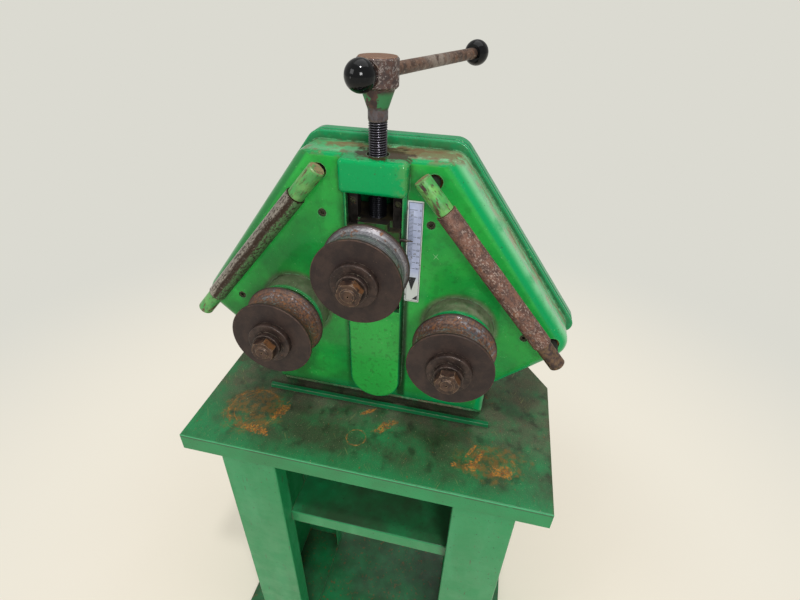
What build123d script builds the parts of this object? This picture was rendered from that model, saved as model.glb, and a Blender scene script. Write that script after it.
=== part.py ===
from build123d import *
from math import cos, sin, tan, radians, degrees, sqrt, atan2, hypot, pi
import os

# Ring roller on a sheet-metal stand. Millimetres, +Z up, front towards -Y.
# X = 0 is the plane of the pressure screw, Z = 0 is the floor, Y = 0 is the middle of the base plate.

# ---- running and assembly clearances ----
running_gap = 0.06        # radial, shaft in bearing or bush
seat_gap = 0.03           # radial, part clamped on its shaft
slide_gap = 0.15          # slide against its rails
screw_hole_gap = 0.5      # radial, screw in a clearance hole

# ---- stand ----
stand_shift = 3.0         # the stand is built this much to the right of the machine's centre
base_width = 620.0
base_depth = 428.0
base_thickness = 5.0
anchor_hole_radius = 7.0
anchor_inset = 28.0
table_height = 700.0
table_width = 600.0
table_depth = 400.0
table_front = -200.0
table_sheet = 3.0
table_lip = 34.0
table_corner_cut_x = 96.0
table_corner_cut_y = 138.0
pedestal_width = 96.0
pedestal_sheet = 3.0
pedestal_return = 31.0
pedestal_spread = 195.0   # half the distance between the pedestals' middles
pedestal_shift = 12.0
shelf_height = 496.0
shelf_lip = 29.0
shelf_setback = 28.4      # shelf edge behind the tray's front
ridge_size = 8.0
ridge_length = 398.0
ridge_y = -63.0

# ---- housing: one outline, seen from the front ----
roll_face_y = -154.0      # front faces of the three rolls
front_face_y = -57.4      # front face of the housing
front_wall = 22.0
housing_wall = 10.0
parting_y = 12.0          # joint between the front and the rear housing
housing_back_y = 60.0
back_wall = 12.0
slope_angle = 37.0        # upper slopes, from the vertical
slope_distance = 351.0    # upper slopes from the point on the table under the screw
housing_top = 443.0       # above the table
lower_angle = 47.3
lower_distance = 66.5
housing_half_width = 184.0
housing_underside = 21.0
outline_corner = 30.0
top_corner = 26.0
side_rounding = 19.0      # front edge along the slopes and the bottom
top_rounding = 6.0        # front edge along the top
rim_stand_out = 7.0
rim_top_stand_out = 12.0
rim_front_width = 7.0
rim_groove = 4.0
rim_back_width = 18.0
shoulder_wall = 4.0
rim_corner = 15.0
rim_edge = 2.5
back_inset = 22.0
back_edge = 14.0

# ---- nose and column on the front face ----
nose_half_width = 45.5
nose_stand_out = 20.0
nose_bottom = 398.0
nose_edge = 7.0
column_half_width = 43.5
column_stand_out = 9.0
column_edge = 6.0
tongue_bottom = 28.0
nut_block_half_width = 40.0
nut_block_back_y = -4.0

# ---- slot, rails and slide ----
slot_half_width = 38.5
slot_bottom = 215.0
rail_width = 14.0
rail_thickness = 15.0
rail_setback = 0.6
slide_top = 359.5
slide_flange_top = 350.0
slide_flange_bottom = 268.0
slide_flange_front_y = -73.0
slide_neck_half_width = 20.5
slide_block_bottom = 226.0
slide_block_back_y = -4.0
slide_boss_radius = 34.0
slide_travel_up = 38.0
slide_travel_down = 49.0

# ---- pressure screw and T-handle ----
screw_y = -44.5
screw_radius = 12.0
screw_thread_top = 485.0
screw_neck_radius = 12.5
screw_neck_top = 497.0
screw_cone_top = 521.0
screw_cone_radius = 21.0
screw_head_radius = 25.0
screw_head_top = 555.0
screw_head_chamfer = 2.5
screw_journal_radius = 9.0
keeper_radius = 14.0
keeper_thickness = 7.0
keeper_roof = 14.0        # metal of the slide above the keeper
nut_radius = 18.0
nut_height = 32.0
top_hole_radius = 14.5
handle_height = 537.5
handle_turn = 20.4        # handle at rest, from +Y towards +X
handle_radius = 8.0
handle_front_reach = 34.0
handle_back_reach = 266.0
knob_radius = 18.5
head_flat_distance = 20.0
knob_seat_distance = 13.7
spot_face_radius = 16.2

# ---- rolls and their shafts ----
lower_spread = 128.0      # half the distance between the lower shafts
lower_height = 198.4
upper_height = 313.8
roll_radius = 60.0
roll_width = 47.0
roll_groove_depth = 8.0
roll_land = 4.0
roll_back_cone_width = 9.0
roll_back_cone_depth = 4.5
shaft_radius = 15.0
shaft_thread_radius = 10.0
shaft_end = 31.0          # thread end in front of the roll faces
centre_drill_radius = 2.2
collar_radius = 31.0
collar_thickness = 9.0
washer_radius = 20.0
washer_thickness = 8.0
nut_across_flats = 30.0
nut_thickness = 12.0
key_width = 8.0
key_height = 7.0
key_length = 40.0
boss_radius = 53.0
boss_front_y = -92.0
bearing_cover_thickness = 4.0
spacer_radius = 22.0
bearing_outer_radius = 31.0
bearing_width = 16.0
bearing_balls = 9
slide_bearing_outer_radius = 23.5
slide_bearing_width = 13.0

# ---- gear train ----
gear_module = 4.0
gear_teeth = 48
pinion_teeth = 27
gear_width = 20.0
gear_front_y = 2.0
gear_hub_radius = 26.0
gear_backlash = 0.30
pressure_angle = 20.0
pinion_shaft_radius = 12.5

# ---- gearbox and motor ----
gearbox_neck_radius = 45.0
gearbox_neck_length = 21.0
gearbox_half_width = 66.0
gearbox_depth = 106.0
gearbox_below = 58.0
gearbox_above = 104.0
gearbox_wall = 7.0
worm_distance = 63.0
worm_radius = 15.0
worm_wheel_radius = 47.6
worm_wheel_width = 28.0
worm_shaft_radius = 9.0
motor_radius = 66.0
motor_length = 150.0
motor_fins = 36
motor_fin_depth = 5.0
fan_cover_length = 46.0
fan_radius = 50.0
terminal_box_length = 84.0
terminal_box_width = 78.0
terminal_box_height = 34.0
gland_radius = 9.0

# ---- side guides ----
guide_top_x = 65.5
guide_top_z = 432.0
guide_bottom_x = 274.0
guide_bottom_z = 184.0
guide_axis_stand_out = 32.0
guide_bar_radius = 11.5
guide_sleeve_radius = 13.5
guide_core_radius = 9.0    # thinner middle of the bar, inside the sleeve
guide_sleeve_start = 50.4
guide_sleeve_end = 280.0
sleeve_end_gap = 0.4
stud_top_distance = 18.3
stud_bottom_distance = 310.9
stud_radius = 8.0
stud_tail_y = 15.0
bush_radius = 10.5
bush_setback = 3.4
bush_length = 24.0
guide_boss_radius = 15.0
stop_collar_radius = 11.0
stop_collar_width = 8.0

# ---- scale, screws and bolts ----
scale_left = 44.2
scale_width = 21.3
scale_bottom = 234.0
scale_height = 157.0
scale_thickness = 1.2
pointer_height = 338.0
pointer_setback = 4.0       # pin behind the slide's front
pointer_radius = 2.2
pointer_end = 55.0
face_screw_x = (225.0, 76.3)
face_screw_z = (197.4, 359.0)
face_screw_head = 5.6
face_screw_length = 18.0
rail_screw_x = 31.0
rail_screw_z = (383.0, 232.0)
rail_screw_head = 4.2
plinth_front_y = -31.0
plinth_screw_x = 164.0
plinth_screw_z = 11.0
plinth_screw_head = 5.6
stand_bolt_x = 173.0
stand_bolt_y = (-16.0, 45.0)
stand_bolt_radius = 5.0
stand_bolt_flats = 17.0
stand_bolt_head = 6.4
stand_bolt_grip = 24.0
housing_screw_head = 5.0
housing_screw_radius = 3.0
housing_screw_length = 20.0
housing_screw_seat = 12.0  # head seat behind the joint
socket_ratio = 0.52       # socket size against the head's radius

# ---- derived places ----
table_top = table_height
upper_axis = table_top + upper_height
lower_axis = table_top + lower_height
roll_back_y = roll_face_y + roll_width
gear_pitch = gear_module * gear_teeth / 2
pinion_pitch = gear_module * pinion_teeth / 2
pinion_axis = lower_axis - sqrt((gear_pitch + pinion_pitch) ** 2 - lower_spread ** 2)
front_wall_back_y = front_face_y + front_wall
rear_cavity_y = housing_back_y - back_wall
guide_axis_y = front_face_y - guide_axis_stand_out
gearbox_front_y = housing_back_y + gearbox_neck_length
worm_y = gearbox_front_y + gearbox_depth / 2
worm_axis = pinion_axis + worm_distance
front_bearing_y = boss_front_y
back_bearing_y = rear_cavity_y - bearing_width
slide_front_bearing_y = slide_flange_front_y + 3.0
slide_back_bearing_y = slide_block_back_y - slide_bearing_width - 3.0

os.makedirs("parts", exist_ok=True)


# ---------- helpers ----------
def facing(y):
    """Plane seen from the front at depth y: local x is X, local y is Z."""
    return Plane(origin=(0, y, 0), x_dir=(1, 0, 0), z_dir=(0, -1, 0))


def slab(face, y_front, y_back):
    """Flat face drawn as seen from the front, made solid between two depths."""
    return extrude(facing(y_back) * face, amount=y_back - y_front)


def rod(x, z, radius, y_front, y_back):
    """Round bar along Y."""
    return slab(Pos(x, z) * Circle(radius), y_front, y_back)


def block(x0, x1, y0, y1, z0, z1):
    """Box given by its limits."""
    size = Box(x1 - x0, y1 - y0, z1 - z0)
    return Pos((x0 + x1) / 2, (y0 + y1) / 2, (z0 + z1) / 2) * size


def polygon(points):
    return make_face(Polyline(*points, close=True))


def mirrored(shape):
    return mirror(shape, about=Plane.YZ)


def hexagon(across_flats):
    return RegularPolygon(across_flats / 2, 6, major_radius=False)


def socket_screw(x, z, head_radius, head_y, length):
    """Socket-head screw along Y: head at the front, thread behind."""
    head = rod(x, z, head_radius, head_y, head_y + head_radius)
    stem = rod(x, z, head_radius * 0.6, head_y + head_radius, head_y + head_radius + length)
    hexagon_hole = Pos(x, z) * hexagon(head_radius * 2 * socket_ratio)
    return head + stem - slab(hexagon_hole, head_y - 1, head_y + head_radius * 0.6)


def screw_pocket(x, z, head_radius, face_y, head_y, length):
    """Counterbore and hole that a socket screw sits in."""
    bore = rod(x, z, head_radius + screw_hole_gap, face_y - 20, head_y + head_radius)
    return bore + rod(x, z, head_radius * 0.6 + seat_gap, head_y, head_y + head_radius + length + 1)


def save(name, *solids):
    shape = solids[0] if len(solids) == 1 else Compound(children=list(solids))
    export_step(shape, f"parts/{name}.step")


# ---------- housing outlines ----------
def slope_x(height, distance):
    """X of the upper slope at a height above the table."""
    a = radians(slope_angle)
    return (distance - height * sin(a)) / cos(a)


def lower_x(height, distance):
    """X of the lower slope at a height above the table."""
    b = radians(lower_angle)
    return distance / sin(pi / 2 - b) + height * tan(b)


def outline(upper, top, lower, half_width, bottom, wide_corner, high_corner):
    """Six-sided housing outline with rounded corners, as seen from the front."""
    a = radians(slope_angle)
    b = radians(lower_angle)
    base = lower / cos(b)
    wide_z = (upper - base * cos(a)) / (cos(a) * tan(b) + sin(a))
    wide_x = base + wide_z * tan(b)
    side_z = (half_width - base) / tan(b)
    top_x = slope_x(top, upper)
    right = [(half_width, bottom), (half_width, side_z), (wide_x, wide_z), (top_x, top)]
    points = [(x, z + table_top) for x, z in right]
    points += [(-x, z) for x, z in reversed(points)]
    face = polygon(points)
    wide = [v for v in face.vertices() if abs(abs(v.X) - wide_x) < 0.01]
    face = fillet(wide, wide_corner)
    high = [v for v in face.vertices() if abs(v.Y - top - table_top) < 0.01]
    return fillet(high, high_corner)


def main_outline(inset=0.0, raise_top=0.0):
    return outline(slope_distance - inset, housing_top - inset + raise_top, lower_distance - inset,
                   housing_half_width - inset, housing_underside + inset,
                   outline_corner - inset * 0.6, max(top_corner - inset, 3.0))


def rim_outline():
    return outline(slope_distance + rim_stand_out, housing_top + rim_top_stand_out, lower_distance,
                   housing_half_width, housing_underside, rim_corner, top_corner)


def front_edges(solid, y):
    return [e for e in solid.edges() if abs(e.bounding_box().min.Y - y) < 0.01
            and abs(e.bounding_box().max.Y - y) < 0.01]


# ---------- housing ----------
def front_shell():
    """Outer form of the front housing: small round on top, large round along the slopes."""
    low = slab(main_outline(), front_face_y, parting_y)
    low = fillet(front_edges(low, front_face_y), top_rounding)
    tall = slab(main_outline(raise_top=120.0), front_face_y, parting_y)
    tall = fillet(front_edges(tall, front_face_y), side_rounding)
    return low & tall


def rim_flange(y_front, y_back):
    flange = slab(rim_outline(), y_front, y_back)
    both = front_edges(flange, y_front) + front_edges(flange, y_back)
    return fillet(both, rim_edge)


def column():
    """Raised column from the nose down to the round tongue."""
    top = table_top + nose_bottom + 10
    centre = table_top + tongue_bottom + column_half_width
    straight = Pos(0, (top + centre) / 2) * Rectangle(2 * column_half_width, top - centre)
    face = straight + Pos(0, centre) * Circle(column_half_width)
    front = front_face_y - column_stand_out
    body = slab(face, front, front_face_y + 2)
    return fillet(front_edges(body, front), column_edge)


def nose():
    front = front_face_y - nose_stand_out
    body = block(-nose_half_width, nose_half_width, front, front_face_y + 8,
                 table_top + nose_bottom, table_top + housing_top)
    upright = body.edges().filter_by(Axis.Y)
    body = fillet(upright, nose_edge)
    return fillet(front_edges(body, front), nose_edge - 1)


def guide_stud_places():
    """Centres of the four guide studs, as seen from the front."""
    run_x = guide_bottom_x - guide_top_x
    run_z = guide_bottom_z - guide_top_z
    length = hypot(run_x, run_z)
    places = []
    for distance in (stud_top_distance, stud_bottom_distance):
        t = distance / length
        places.append((guide_top_x + run_x * t, table_top + guide_top_z + run_z * t))
    return places + [(-x, z) for x, z in places]


def front_casting():
    body = front_shell() + rim_flange(parting_y - rim_groove - rim_front_width, parting_y - rim_groove)
    body += column() + nose()
    inner = slab(main_outline(inset=housing_wall), front_wall_back_y, parting_y + 1)
    body -= inner
    body += block(-nut_block_half_width, nut_block_half_width, front_wall_back_y - 1, nut_block_back_y,
                  table_top + nose_bottom, table_top + housing_top - housing_wall + 1)
    bush_end_y = front_face_y + bush_setback + bush_length
    for side in (-1, 1):
        x = side * lower_spread
        boss_back = front_wall_back_y + 6
        body += rod(x, lower_axis, boss_radius, boss_front_y, boss_back)
        body -= rod(x, lower_axis, bearing_outer_radius + seat_gap, boss_front_y - 1,
                    front_bearing_y + bearing_width)
        body -= rod(x, lower_axis, spacer_radius, boss_front_y, boss_back + 1)
    for x, z in guide_stud_places():
        boss = rod(x, z, guide_boss_radius, front_wall_back_y - 1, bush_end_y)
        body += boss & slab(main_outline(), front_face_y, parting_y)
        body -= rod(x, z, bush_radius + seat_gap, front_face_y - 1, bush_end_y + 1)
    slot_top = table_top + nose_bottom
    body -= block(-slot_half_width, slot_half_width, front_face_y - column_stand_out - 1,
                  nut_block_back_y + 1, table_top + slot_bottom, slot_top)
    rail_back_y = front_face_y - rail_setback + rail_thickness
    body -= block(-slot_half_width, slot_half_width, rail_back_y, front_wall_back_y + 1,
                  table_top + slide_block_bottom - slide_travel_down - 1, table_top + slot_bottom + 1)
    body -= Pos(0, screw_y, table_top + nose_bottom) * Cylinder(
        nut_radius + seat_gap, 2 * nut_height)
    body -= Pos(0, screw_y, table_top + housing_top) * Cylinder(top_hole_radius, 60)
    for x, z in zip(face_screw_x, face_screw_z):
        for side in (-1, 1):
            body -= screw_pocket(side * x, table_top + z, face_screw_head, front_face_y,
                                 front_face_y + 1, face_screw_length)
    for x, z in housing_screw_places():
        body -= rod(x, z, housing_screw_radius + seat_gap, parting_y - housing_screw_length - 2, parting_y + 1)
    return body


def housing_screw_places():
    """Places of the screws that hold the rear housing's flange, midway in the joint's wall."""
    a = radians(slope_angle)
    inset = housing_wall / 2
    places = []
    for height in (260.0, 400.0):
        x = slope_x(height, slope_distance - inset)
        places.append((x, table_top + height))
        places.append((-x, table_top + height))
    return places + [(0.0, table_top + housing_top - inset)]


def rear_casting():
    flange = rim_flange(parting_y, parting_y + rim_back_width)
    back = slab(outline(slope_distance - back_inset, housing_top - back_inset, lower_distance - 10,
                        housing_half_width - 6, housing_underside, outline_corner, top_corner),
                parting_y + 2, housing_back_y)
    back = fillet(front_edges(back, housing_back_y), back_edge)
    body = flange + back
    body -= slab(outline(slope_distance - back_inset - housing_wall,
                         housing_top - back_inset - housing_wall, lower_distance - 10 - housing_wall,
                         housing_half_width - 6 - housing_wall, housing_underside + housing_wall,
                         outline_corner - housing_wall, top_corner - housing_wall),
                 parting_y - 1, rear_cavity_y)
    body -= slab(main_outline(inset=housing_wall), parting_y - 1, parting_y + rim_back_width - shoulder_wall)
    for side in (-1, 1):
        x = side * lower_spread
        body += rod(x, lower_axis, bearing_outer_radius + 9, back_bearing_y, rear_cavity_y + 1)
        body -= rod(x, lower_axis, bearing_outer_radius + seat_gap, back_bearing_y - 1, rear_cavity_y)
    body -= rod(0, pinion_axis, pinion_shaft_radius + 6, rear_cavity_y - 1, housing_back_y + 1)
    for x, z in housing_screw_places():
        body -= rod(x, z, housing_screw_radius + screw_hole_gap, parting_y - 1, parting_y + rim_back_width + 1)
        body -= rod(x, z, housing_screw_head + screw_hole_gap, parting_y + housing_screw_seat,
                    housing_back_y)
    return body


def housing_screws():
    screws = []
    for x, z in housing_screw_places():
        seat = parting_y + housing_screw_seat
        head = rod(x, z, housing_screw_head, seat, seat + housing_screw_head)
        stem = rod(x, z, housing_screw_radius, parting_y - housing_screw_length, seat)
        socket = slab(Pos(x, z) * hexagon(housing_screw_head), seat + housing_screw_head * 0.4, seat + 10)
        screws.append(head + stem - socket)
    return screws


def plinth():
    body = block(-housing_half_width, housing_half_width, plinth_front_y, housing_back_y,
                 table_top, table_top + housing_underside)
    for side in (-1, 1):
        body -= screw_pocket(side * plinth_screw_x, table_top + plinth_screw_z, plinth_screw_head,
                             plinth_front_y, plinth_front_y + 1, 24)
        for y in stand_bolt_y:
            hole = Cylinder(stand_bolt_radius + seat_gap, 2 * (stand_bolt_grip - table_sheet - pedestal_sheet + 1))
            body -= Pos(side * stand_bolt_x, y, table_top) * hole
    return body


def face_screws():
    screws = []
    for x, z in zip(face_screw_x, face_screw_z):
        for side in (-1, 1):
            screws.append(socket_screw(side * x, table_top + z, face_screw_head,
                                       front_face_y + 1, face_screw_length - 4))
    return screws


def plinth_screws():
    return [socket_screw(side * plinth_screw_x, table_top + plinth_screw_z, plinth_screw_head,
                         plinth_front_y + 1, 20) for side in (-1, 1)]


# ---------- stand ----------
def base_plate():
    plate = block(stand_shift - base_width / 2, stand_shift + base_width / 2,
                  -base_depth / 2, base_depth / 2, 0, base_thickness)
    for sx in (-1, 1):
        for sy in (-1, 1):
            x = stand_shift + sx * (base_width / 2 - anchor_inset)
            y = sy * (base_depth / 2 - anchor_inset)
            plate -= Pos(x, y, 0) * Cylinder(anchor_hole_radius, 4 * base_thickness)
    return plate


def tray_face(inset):
    """Tray seen from above: a rectangle with its two rear corners cut."""
    half = table_width / 2 - inset
    front = table_front + inset
    back = table_front + table_depth - inset
    share = inset * 0.45
    cut_x = table_corner_cut_x - share
    cut_y = table_corner_cut_y - share
    right = [(half, front), (half, back - cut_y), (half - cut_x, back)]
    points = right + [(-x, y) for x, y in reversed(right)]
    return Pos(stand_shift, 0) * polygon(points)


def table_tray():
    tray = extrude(Pos(0, 0, table_top - table_lip) * tray_face(0), amount=table_lip)
    tray = fillet(tray.edges().group_by(Axis.Z)[-1], table_sheet * 0.6)
    tray -= extrude(Pos(0, 0, table_top - table_lip - 1) * tray_face(table_sheet),
                    amount=table_lip + 1 - table_sheet)
    for side in (-1, 1):
        for y in stand_bolt_y:
            hole = Cylinder(stand_bolt_radius + screw_hole_gap, 40)
            tray -= Pos(side * stand_bolt_x, y, table_top) * hole
    return tray


def pedestal(side):
    """Folded channel, open towards the middle of the stand, with foot and top plates."""
    middle = pedestal_shift + side * pedestal_spread
    outer = middle + side * pedestal_width / 2
    inner = middle - side * pedestal_width / 2
    x0, x1 = min(outer, inner), max(outer, inner)
    front = table_front + table_sheet
    back = table_front + table_depth - table_corner_cut_y - table_sheet
    top = table_top - table_sheet
    t = pedestal_sheet
    body = block(x0, x1, front, back, base_thickness, top)
    body = fillet(body.edges().filter_by(Axis.Z), t)
    body -= block(x0 + t, x1 - t, front + t, back - t, base_thickness + t, top - t)
    inner_side = (inner - 2 * t, inner + 2 * t)
    body -= block(min(inner_side), max(inner_side), front + pedestal_return, back - pedestal_return,
                  base_thickness + t, top - t)
    for y in stand_bolt_y:
        body -= Pos(side * stand_bolt_x, y, top) * Cylinder(stand_bolt_radius + screw_hole_gap, 20)
    return body


def shelf():
    left = pedestal_shift - pedestal_spread + pedestal_width / 2
    right = pedestal_shift + pedestal_spread - pedestal_width / 2
    front = table_front + shelf_setback
    back = table_front + table_depth - table_corner_cut_y - table_sheet
    body = block(left, right, front, back, shelf_height - shelf_lip, shelf_height)
    front_top = [e for e in body.edges().filter_by(Axis.X)
                 if e.center().Y < front + 1 and e.center().Z > shelf_height - 1]
    body = fillet(front_top, table_sheet * 0.8)
    return body - block(left + table_sheet, right - table_sheet, front + table_sheet, back - table_sheet,
                        shelf_height - shelf_lip - 1, shelf_height - table_sheet)


def ridge_bar():
    bar = block(-ridge_length / 2, ridge_length / 2, ridge_y, ridge_y + ridge_size,
                table_top, table_top + ridge_size)
    return chamfer(bar.edges().group_by(Axis.Z)[-1], 0.8)


def stand_bolts():
    bolts = []
    seat = table_top - table_sheet - pedestal_sheet
    for side in (-1, 1):
        for y in stand_bolt_y:
            head = extrude(Pos(0, 0, seat - stand_bolt_head) * hexagon(stand_bolt_flats),
                           amount=stand_bolt_head)
            stem = Pos(0, 0, seat + stand_bolt_grip / 2) * Cylinder(stand_bolt_radius, stand_bolt_grip)
            bolts.append(Pos(side * stand_bolt_x, y, 0) * (head + stem))
    return bolts


# ---------- slot, slide and screw ----------
def guide_rail(side):
    inner = slot_half_width - rail_width
    x0, x1 = sorted((side * inner, side * (slot_half_width - seat_gap)))
    front = front_face_y - rail_setback
    rail = block(x0, x1, front, front + rail_thickness, table_top + slot_bottom + 1,
                 table_top + nose_bottom - 1)
    for z in rail_screw_z:
        head_y = front + 2
        rail -= rod(side * rail_screw_x, table_top + z, rail_screw_head + screw_hole_gap, front - 1,
                    head_y + rail_screw_head)
        rail -= rod(side * rail_screw_x, table_top + z, rail_screw_head * 0.6 + seat_gap, front,
                    front + rail_thickness + 1)
    return rail


def rail_screws():
    head_y = front_face_y - rail_setback + 2
    length = rail_thickness - 2 - rail_screw_head
    return [socket_screw(side * rail_screw_x, table_top + z, rail_screw_head, head_y, length - 0.5)
            for side in (-1, 1) for z in rail_screw_z]


def slide_shaft_bores():
    back = slide_block_back_y + 1
    front = slide_flange_front_y - 30
    bores = rod(0, upper_axis, shaft_radius + 3, slide_flange_front_y, back)
    bores += rod(0, upper_axis, spacer_radius, front, slide_flange_front_y)
    outer = slide_bearing_outer_radius + seat_gap
    bores += rod(0, upper_axis, outer, slide_flange_front_y - 1, slide_front_bearing_y + slide_bearing_width)
    return bores + rod(0, upper_axis, outer, slide_back_bearing_y, back)


def top_slide():
    rail_front = front_face_y - rail_setback
    rail_back = rail_front + rail_thickness
    wide = slot_half_width - slide_gap * 8
    narrow = slot_half_width - rail_width - slide_gap
    flange = block(-wide, wide, slide_flange_front_y, rail_front - slide_gap * 3,
                   table_top + slide_flange_bottom, table_top + slide_flange_top)
    cap = block(-slide_neck_half_width, slide_neck_half_width, slide_flange_front_y,
                rail_front, table_top + slide_flange_bottom, table_top + slide_top)
    neck = block(-narrow, narrow, rail_front - 1, rail_back + 1,
                 table_top + slide_flange_bottom, table_top + slide_top)
    heel = block(-wide, wide, rail_back + slide_gap, slide_block_back_y,
                 table_top + slide_block_bottom, table_top + slide_top)
    body = flange + cap + neck + heel
    body += rod(0, upper_axis, slide_boss_radius, slide_boss_front_y(), slide_flange_front_y + 1)
    body -= slide_shaft_bores()
    keeper_top = table_top + slide_top - keeper_roof
    body -= Pos(0, screw_y, table_top + slide_top) * Cylinder(screw_journal_radius + running_gap,
                                                               2 * keeper_roof + 2)
    pocket = keeper_radius + 1
    body -= block(-pocket, pocket, screw_y - pocket, slide_block_back_y + 1,
                  keeper_top - keeper_thickness - 1, keeper_top)
    pin = Pos(slot_half_width, slide_flange_front_y + pointer_setback, table_top + pointer_height) * Rot(0, 90, 0)
    return body - pin * Cylinder(pointer_radius + seat_gap, 16)


def slide_boss_front_y():
    return boss_front_y - bearing_cover_thickness


def slide_pointer():
    start = slot_half_width - 7
    middle = (start + pointer_end - 8) / 2
    place = Pos(0, slide_flange_front_y + pointer_setback, table_top + pointer_height)
    pin = place * Pos(middle, 0, 0) * Rot(0, 90, 0) * Cylinder(pointer_radius, pointer_end - 8 - start)
    needle = place * Pos(pointer_end - 6, 0, 0) * Rot(0, 90, 0) * Cone(pointer_radius, 0.4, 12)
    return pin + needle


def bearing(x, z, y_front, outer, width):
    """Deep-groove ball bearing as three kinds of solid: outer ring, inner ring and balls."""
    inner = shaft_radius + running_gap
    ring = (outer - inner) * 0.3
    outer_ring = rod(x, z, outer, y_front, y_front + width)
    outer_ring -= rod(x, z, outer - ring, y_front - 1, y_front + width + 1)
    inner_ring = rod(x, z, inner + ring, y_front, y_front + width)
    inner_ring -= rod(x, z, inner, y_front - 1, y_front + width + 1)
    track = (outer + inner) / 2
    ball_radius = (outer - inner) / 2 - ring - 0.02
    balls = []
    for i in range(bearing_balls):
        angle = 2 * pi * i / bearing_balls
        place = Pos(x + track * cos(angle), y_front + width / 2, z + track * sin(angle))
        balls.append(place * Sphere(ball_radius))
    return [outer_ring, inner_ring] + balls


def screw_nut():
    height = table_top + nose_bottom + nut_height / 2
    nut = Pos(0, screw_y, height) * Cylinder(nut_radius, nut_height)
    return nut - Pos(0, screw_y, height) * Cylinder(screw_radius + running_gap, nut_height + 2)


def handle_axis():
    a = radians(handle_turn)
    return Vector(sin(a), cos(a), 0)


def handle_frame(distance):
    """Plane across the handle at a distance behind the screw, normal along the handle."""
    centre = Vector(0, screw_y, table_top + handle_height) + handle_axis() * distance
    return Plane(origin=centre, x_dir=(0, 0, 1), z_dir=handle_axis())


def pressure_screw():
    bottom = slide_top - keeper_roof - keeper_thickness - 0.5
    profile = [(0, bottom), (screw_journal_radius, bottom), (screw_journal_radius, slide_top + 0.2),
               (screw_radius, slide_top + 0.2), (screw_radius, screw_thread_top),
               (screw_neck_radius, screw_thread_top + 0.5), (screw_neck_radius, screw_neck_top),
               (screw_cone_radius, screw_cone_top), (screw_head_radius - screw_head_chamfer, screw_cone_top),
               (screw_head_radius, screw_cone_top + screw_head_chamfer),
               (screw_head_radius, screw_head_top - screw_head_chamfer),
               (screw_head_radius - screw_head_chamfer, screw_head_top), (0, screw_head_top)]
    face = Plane.XZ * polygon(profile)
    body = Pos(0, screw_y, table_top) * revolve(face, Axis.Z)
    for end in (-1, 1):
        cut = Pos(0, 0, end * (head_flat_distance + 10)) * Cylinder(spot_face_radius, 20)
        body -= handle_frame(0).location * cut
    return body - handle_frame(0).location * Cylinder(handle_radius + running_gap, 80)


def screw_keeper():
    top = table_top + slide_top - keeper_roof - 0.2
    ring = Cylinder(keeper_radius, keeper_thickness) - Cylinder(screw_journal_radius, keeper_thickness + 2)
    return Pos(0, screw_y, top - keeper_thickness / 2) * ring


def tommy_bar():
    front = -handle_front_reach - 4
    back = handle_back_reach + 4
    bar = extrude(handle_frame(front) * Circle(handle_radius), amount=back - front)
    return chamfer(bar.edges().filter_by(GeomType.CIRCLE), 1.5)


def knob(distance, inward):
    """Ball knob with a flat seat towards the screw head."""
    ball = Sphere(knob_radius)
    ball -= Pos(0, 0, inward * (knob_seat_distance + 20)) * Box(60, 60, 40)
    socket_back = inward * -6.0
    bore = Pos(0, 0, socket_back + inward * 30) * Cylinder(handle_radius + seat_gap, 60)
    return handle_frame(distance).location * (ball - bore)


# ---------- rolls and shafts ----------
def arc_face(points, start, middle, end):
    return make_face([Polyline(*points), ThreePointArc(start, middle, end)])


def roll_profile(back_cone):
    """Half section of a roll: y along the shaft from the front face, x is the radius."""
    bore = shaft_radius + seat_gap
    rim = roll_radius
    back = roll_width
    groove_start = roll_land
    groove_end = back - (roll_back_cone_width if back_cone else roll_land)
    end_radius = rim - (roll_back_cone_depth if back_cone else 0)
    middle = (groove_start + groove_end) / 2
    floor = rim - roll_groove_depth
    rest = [(end_radius, groove_end)]
    if back_cone:
        rest += [(end_radius - 0.8, groove_end), (rim - 1, back - 1.5)]
    rest += [(rim, back - 1.5), (rim, back - 0.8), (rim - 0.8, back), (bore, back), (bore, 0),
             (rim - 0.8, 0), (rim, 0.8), (rim, groove_start)]
    if back_cone:
        rest[1:3] = [(end_radius, groove_end + 1.0), (rim, back - 2.0)]
    arc = ThreePointArc((rim, groove_start), (floor, middle), (end_radius, groove_end))
    return make_face([Polyline(*rest), arc])


def roll(x, z, back_cone):
    """Grooved roll made of two halves that meet in the groove's bottom."""
    face = Plane(origin=(0, 0, 0), x_dir=(1, 0, 0), z_dir=(0, 0, 1)) * roll_profile(back_cone)
    body = Pos(x, roll_face_y, z) * revolve(face, Axis.Y)
    keyway = block(x - key_width / 2 - seat_gap, x + key_width / 2 + seat_gap, roll_face_y - 1,
                   roll_back_y + 1, z, z + shaft_radius + key_height / 2)
    body -= keyway
    middle = roll_face_y + roll_width / 2
    wide = roll_radius + 5
    front = body & block(x - wide, x + wide, roll_face_y - 1, middle, z - wide, z + wide)
    back = body & block(x - wide, x + wide, middle + 0.02, roll_back_y + 1, z - wide, z + wide)
    return [front, back]


def key_seat(x, z, y_front, length, gap):
    half = key_width / 2 + gap
    return block(x - half, x + half, y_front - gap, y_front + length + gap,
                 z + shaft_radius - key_height / 2, z + shaft_radius + key_height / 2)


def shaft(x, z, end_y, key_starts):
    """Shaft along Y with a threaded, centre-drilled front end, and its keys."""
    front = roll_face_y - shaft_end
    body = rod(x, z, shaft_thread_radius, front, roll_face_y - collar_thickness + 1)
    body = chamfer(front_edges(body, front), 1.8)
    body += rod(x, z, shaft_radius, roll_face_y - collar_thickness + 0.5, end_y)
    drill = Pos(x, front, z) * Rot(90, 0, 0) * Cone(centre_drill_radius, 0.3, 8)
    body -= Pos(0, 0, 0) * drill
    keys = []
    for start, length in key_starts:
        body -= key_seat(x, z, start, length, seat_gap)
        keys.append(key_seat(x, z, start, length, 0.0))
    return [body] + keys


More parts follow.
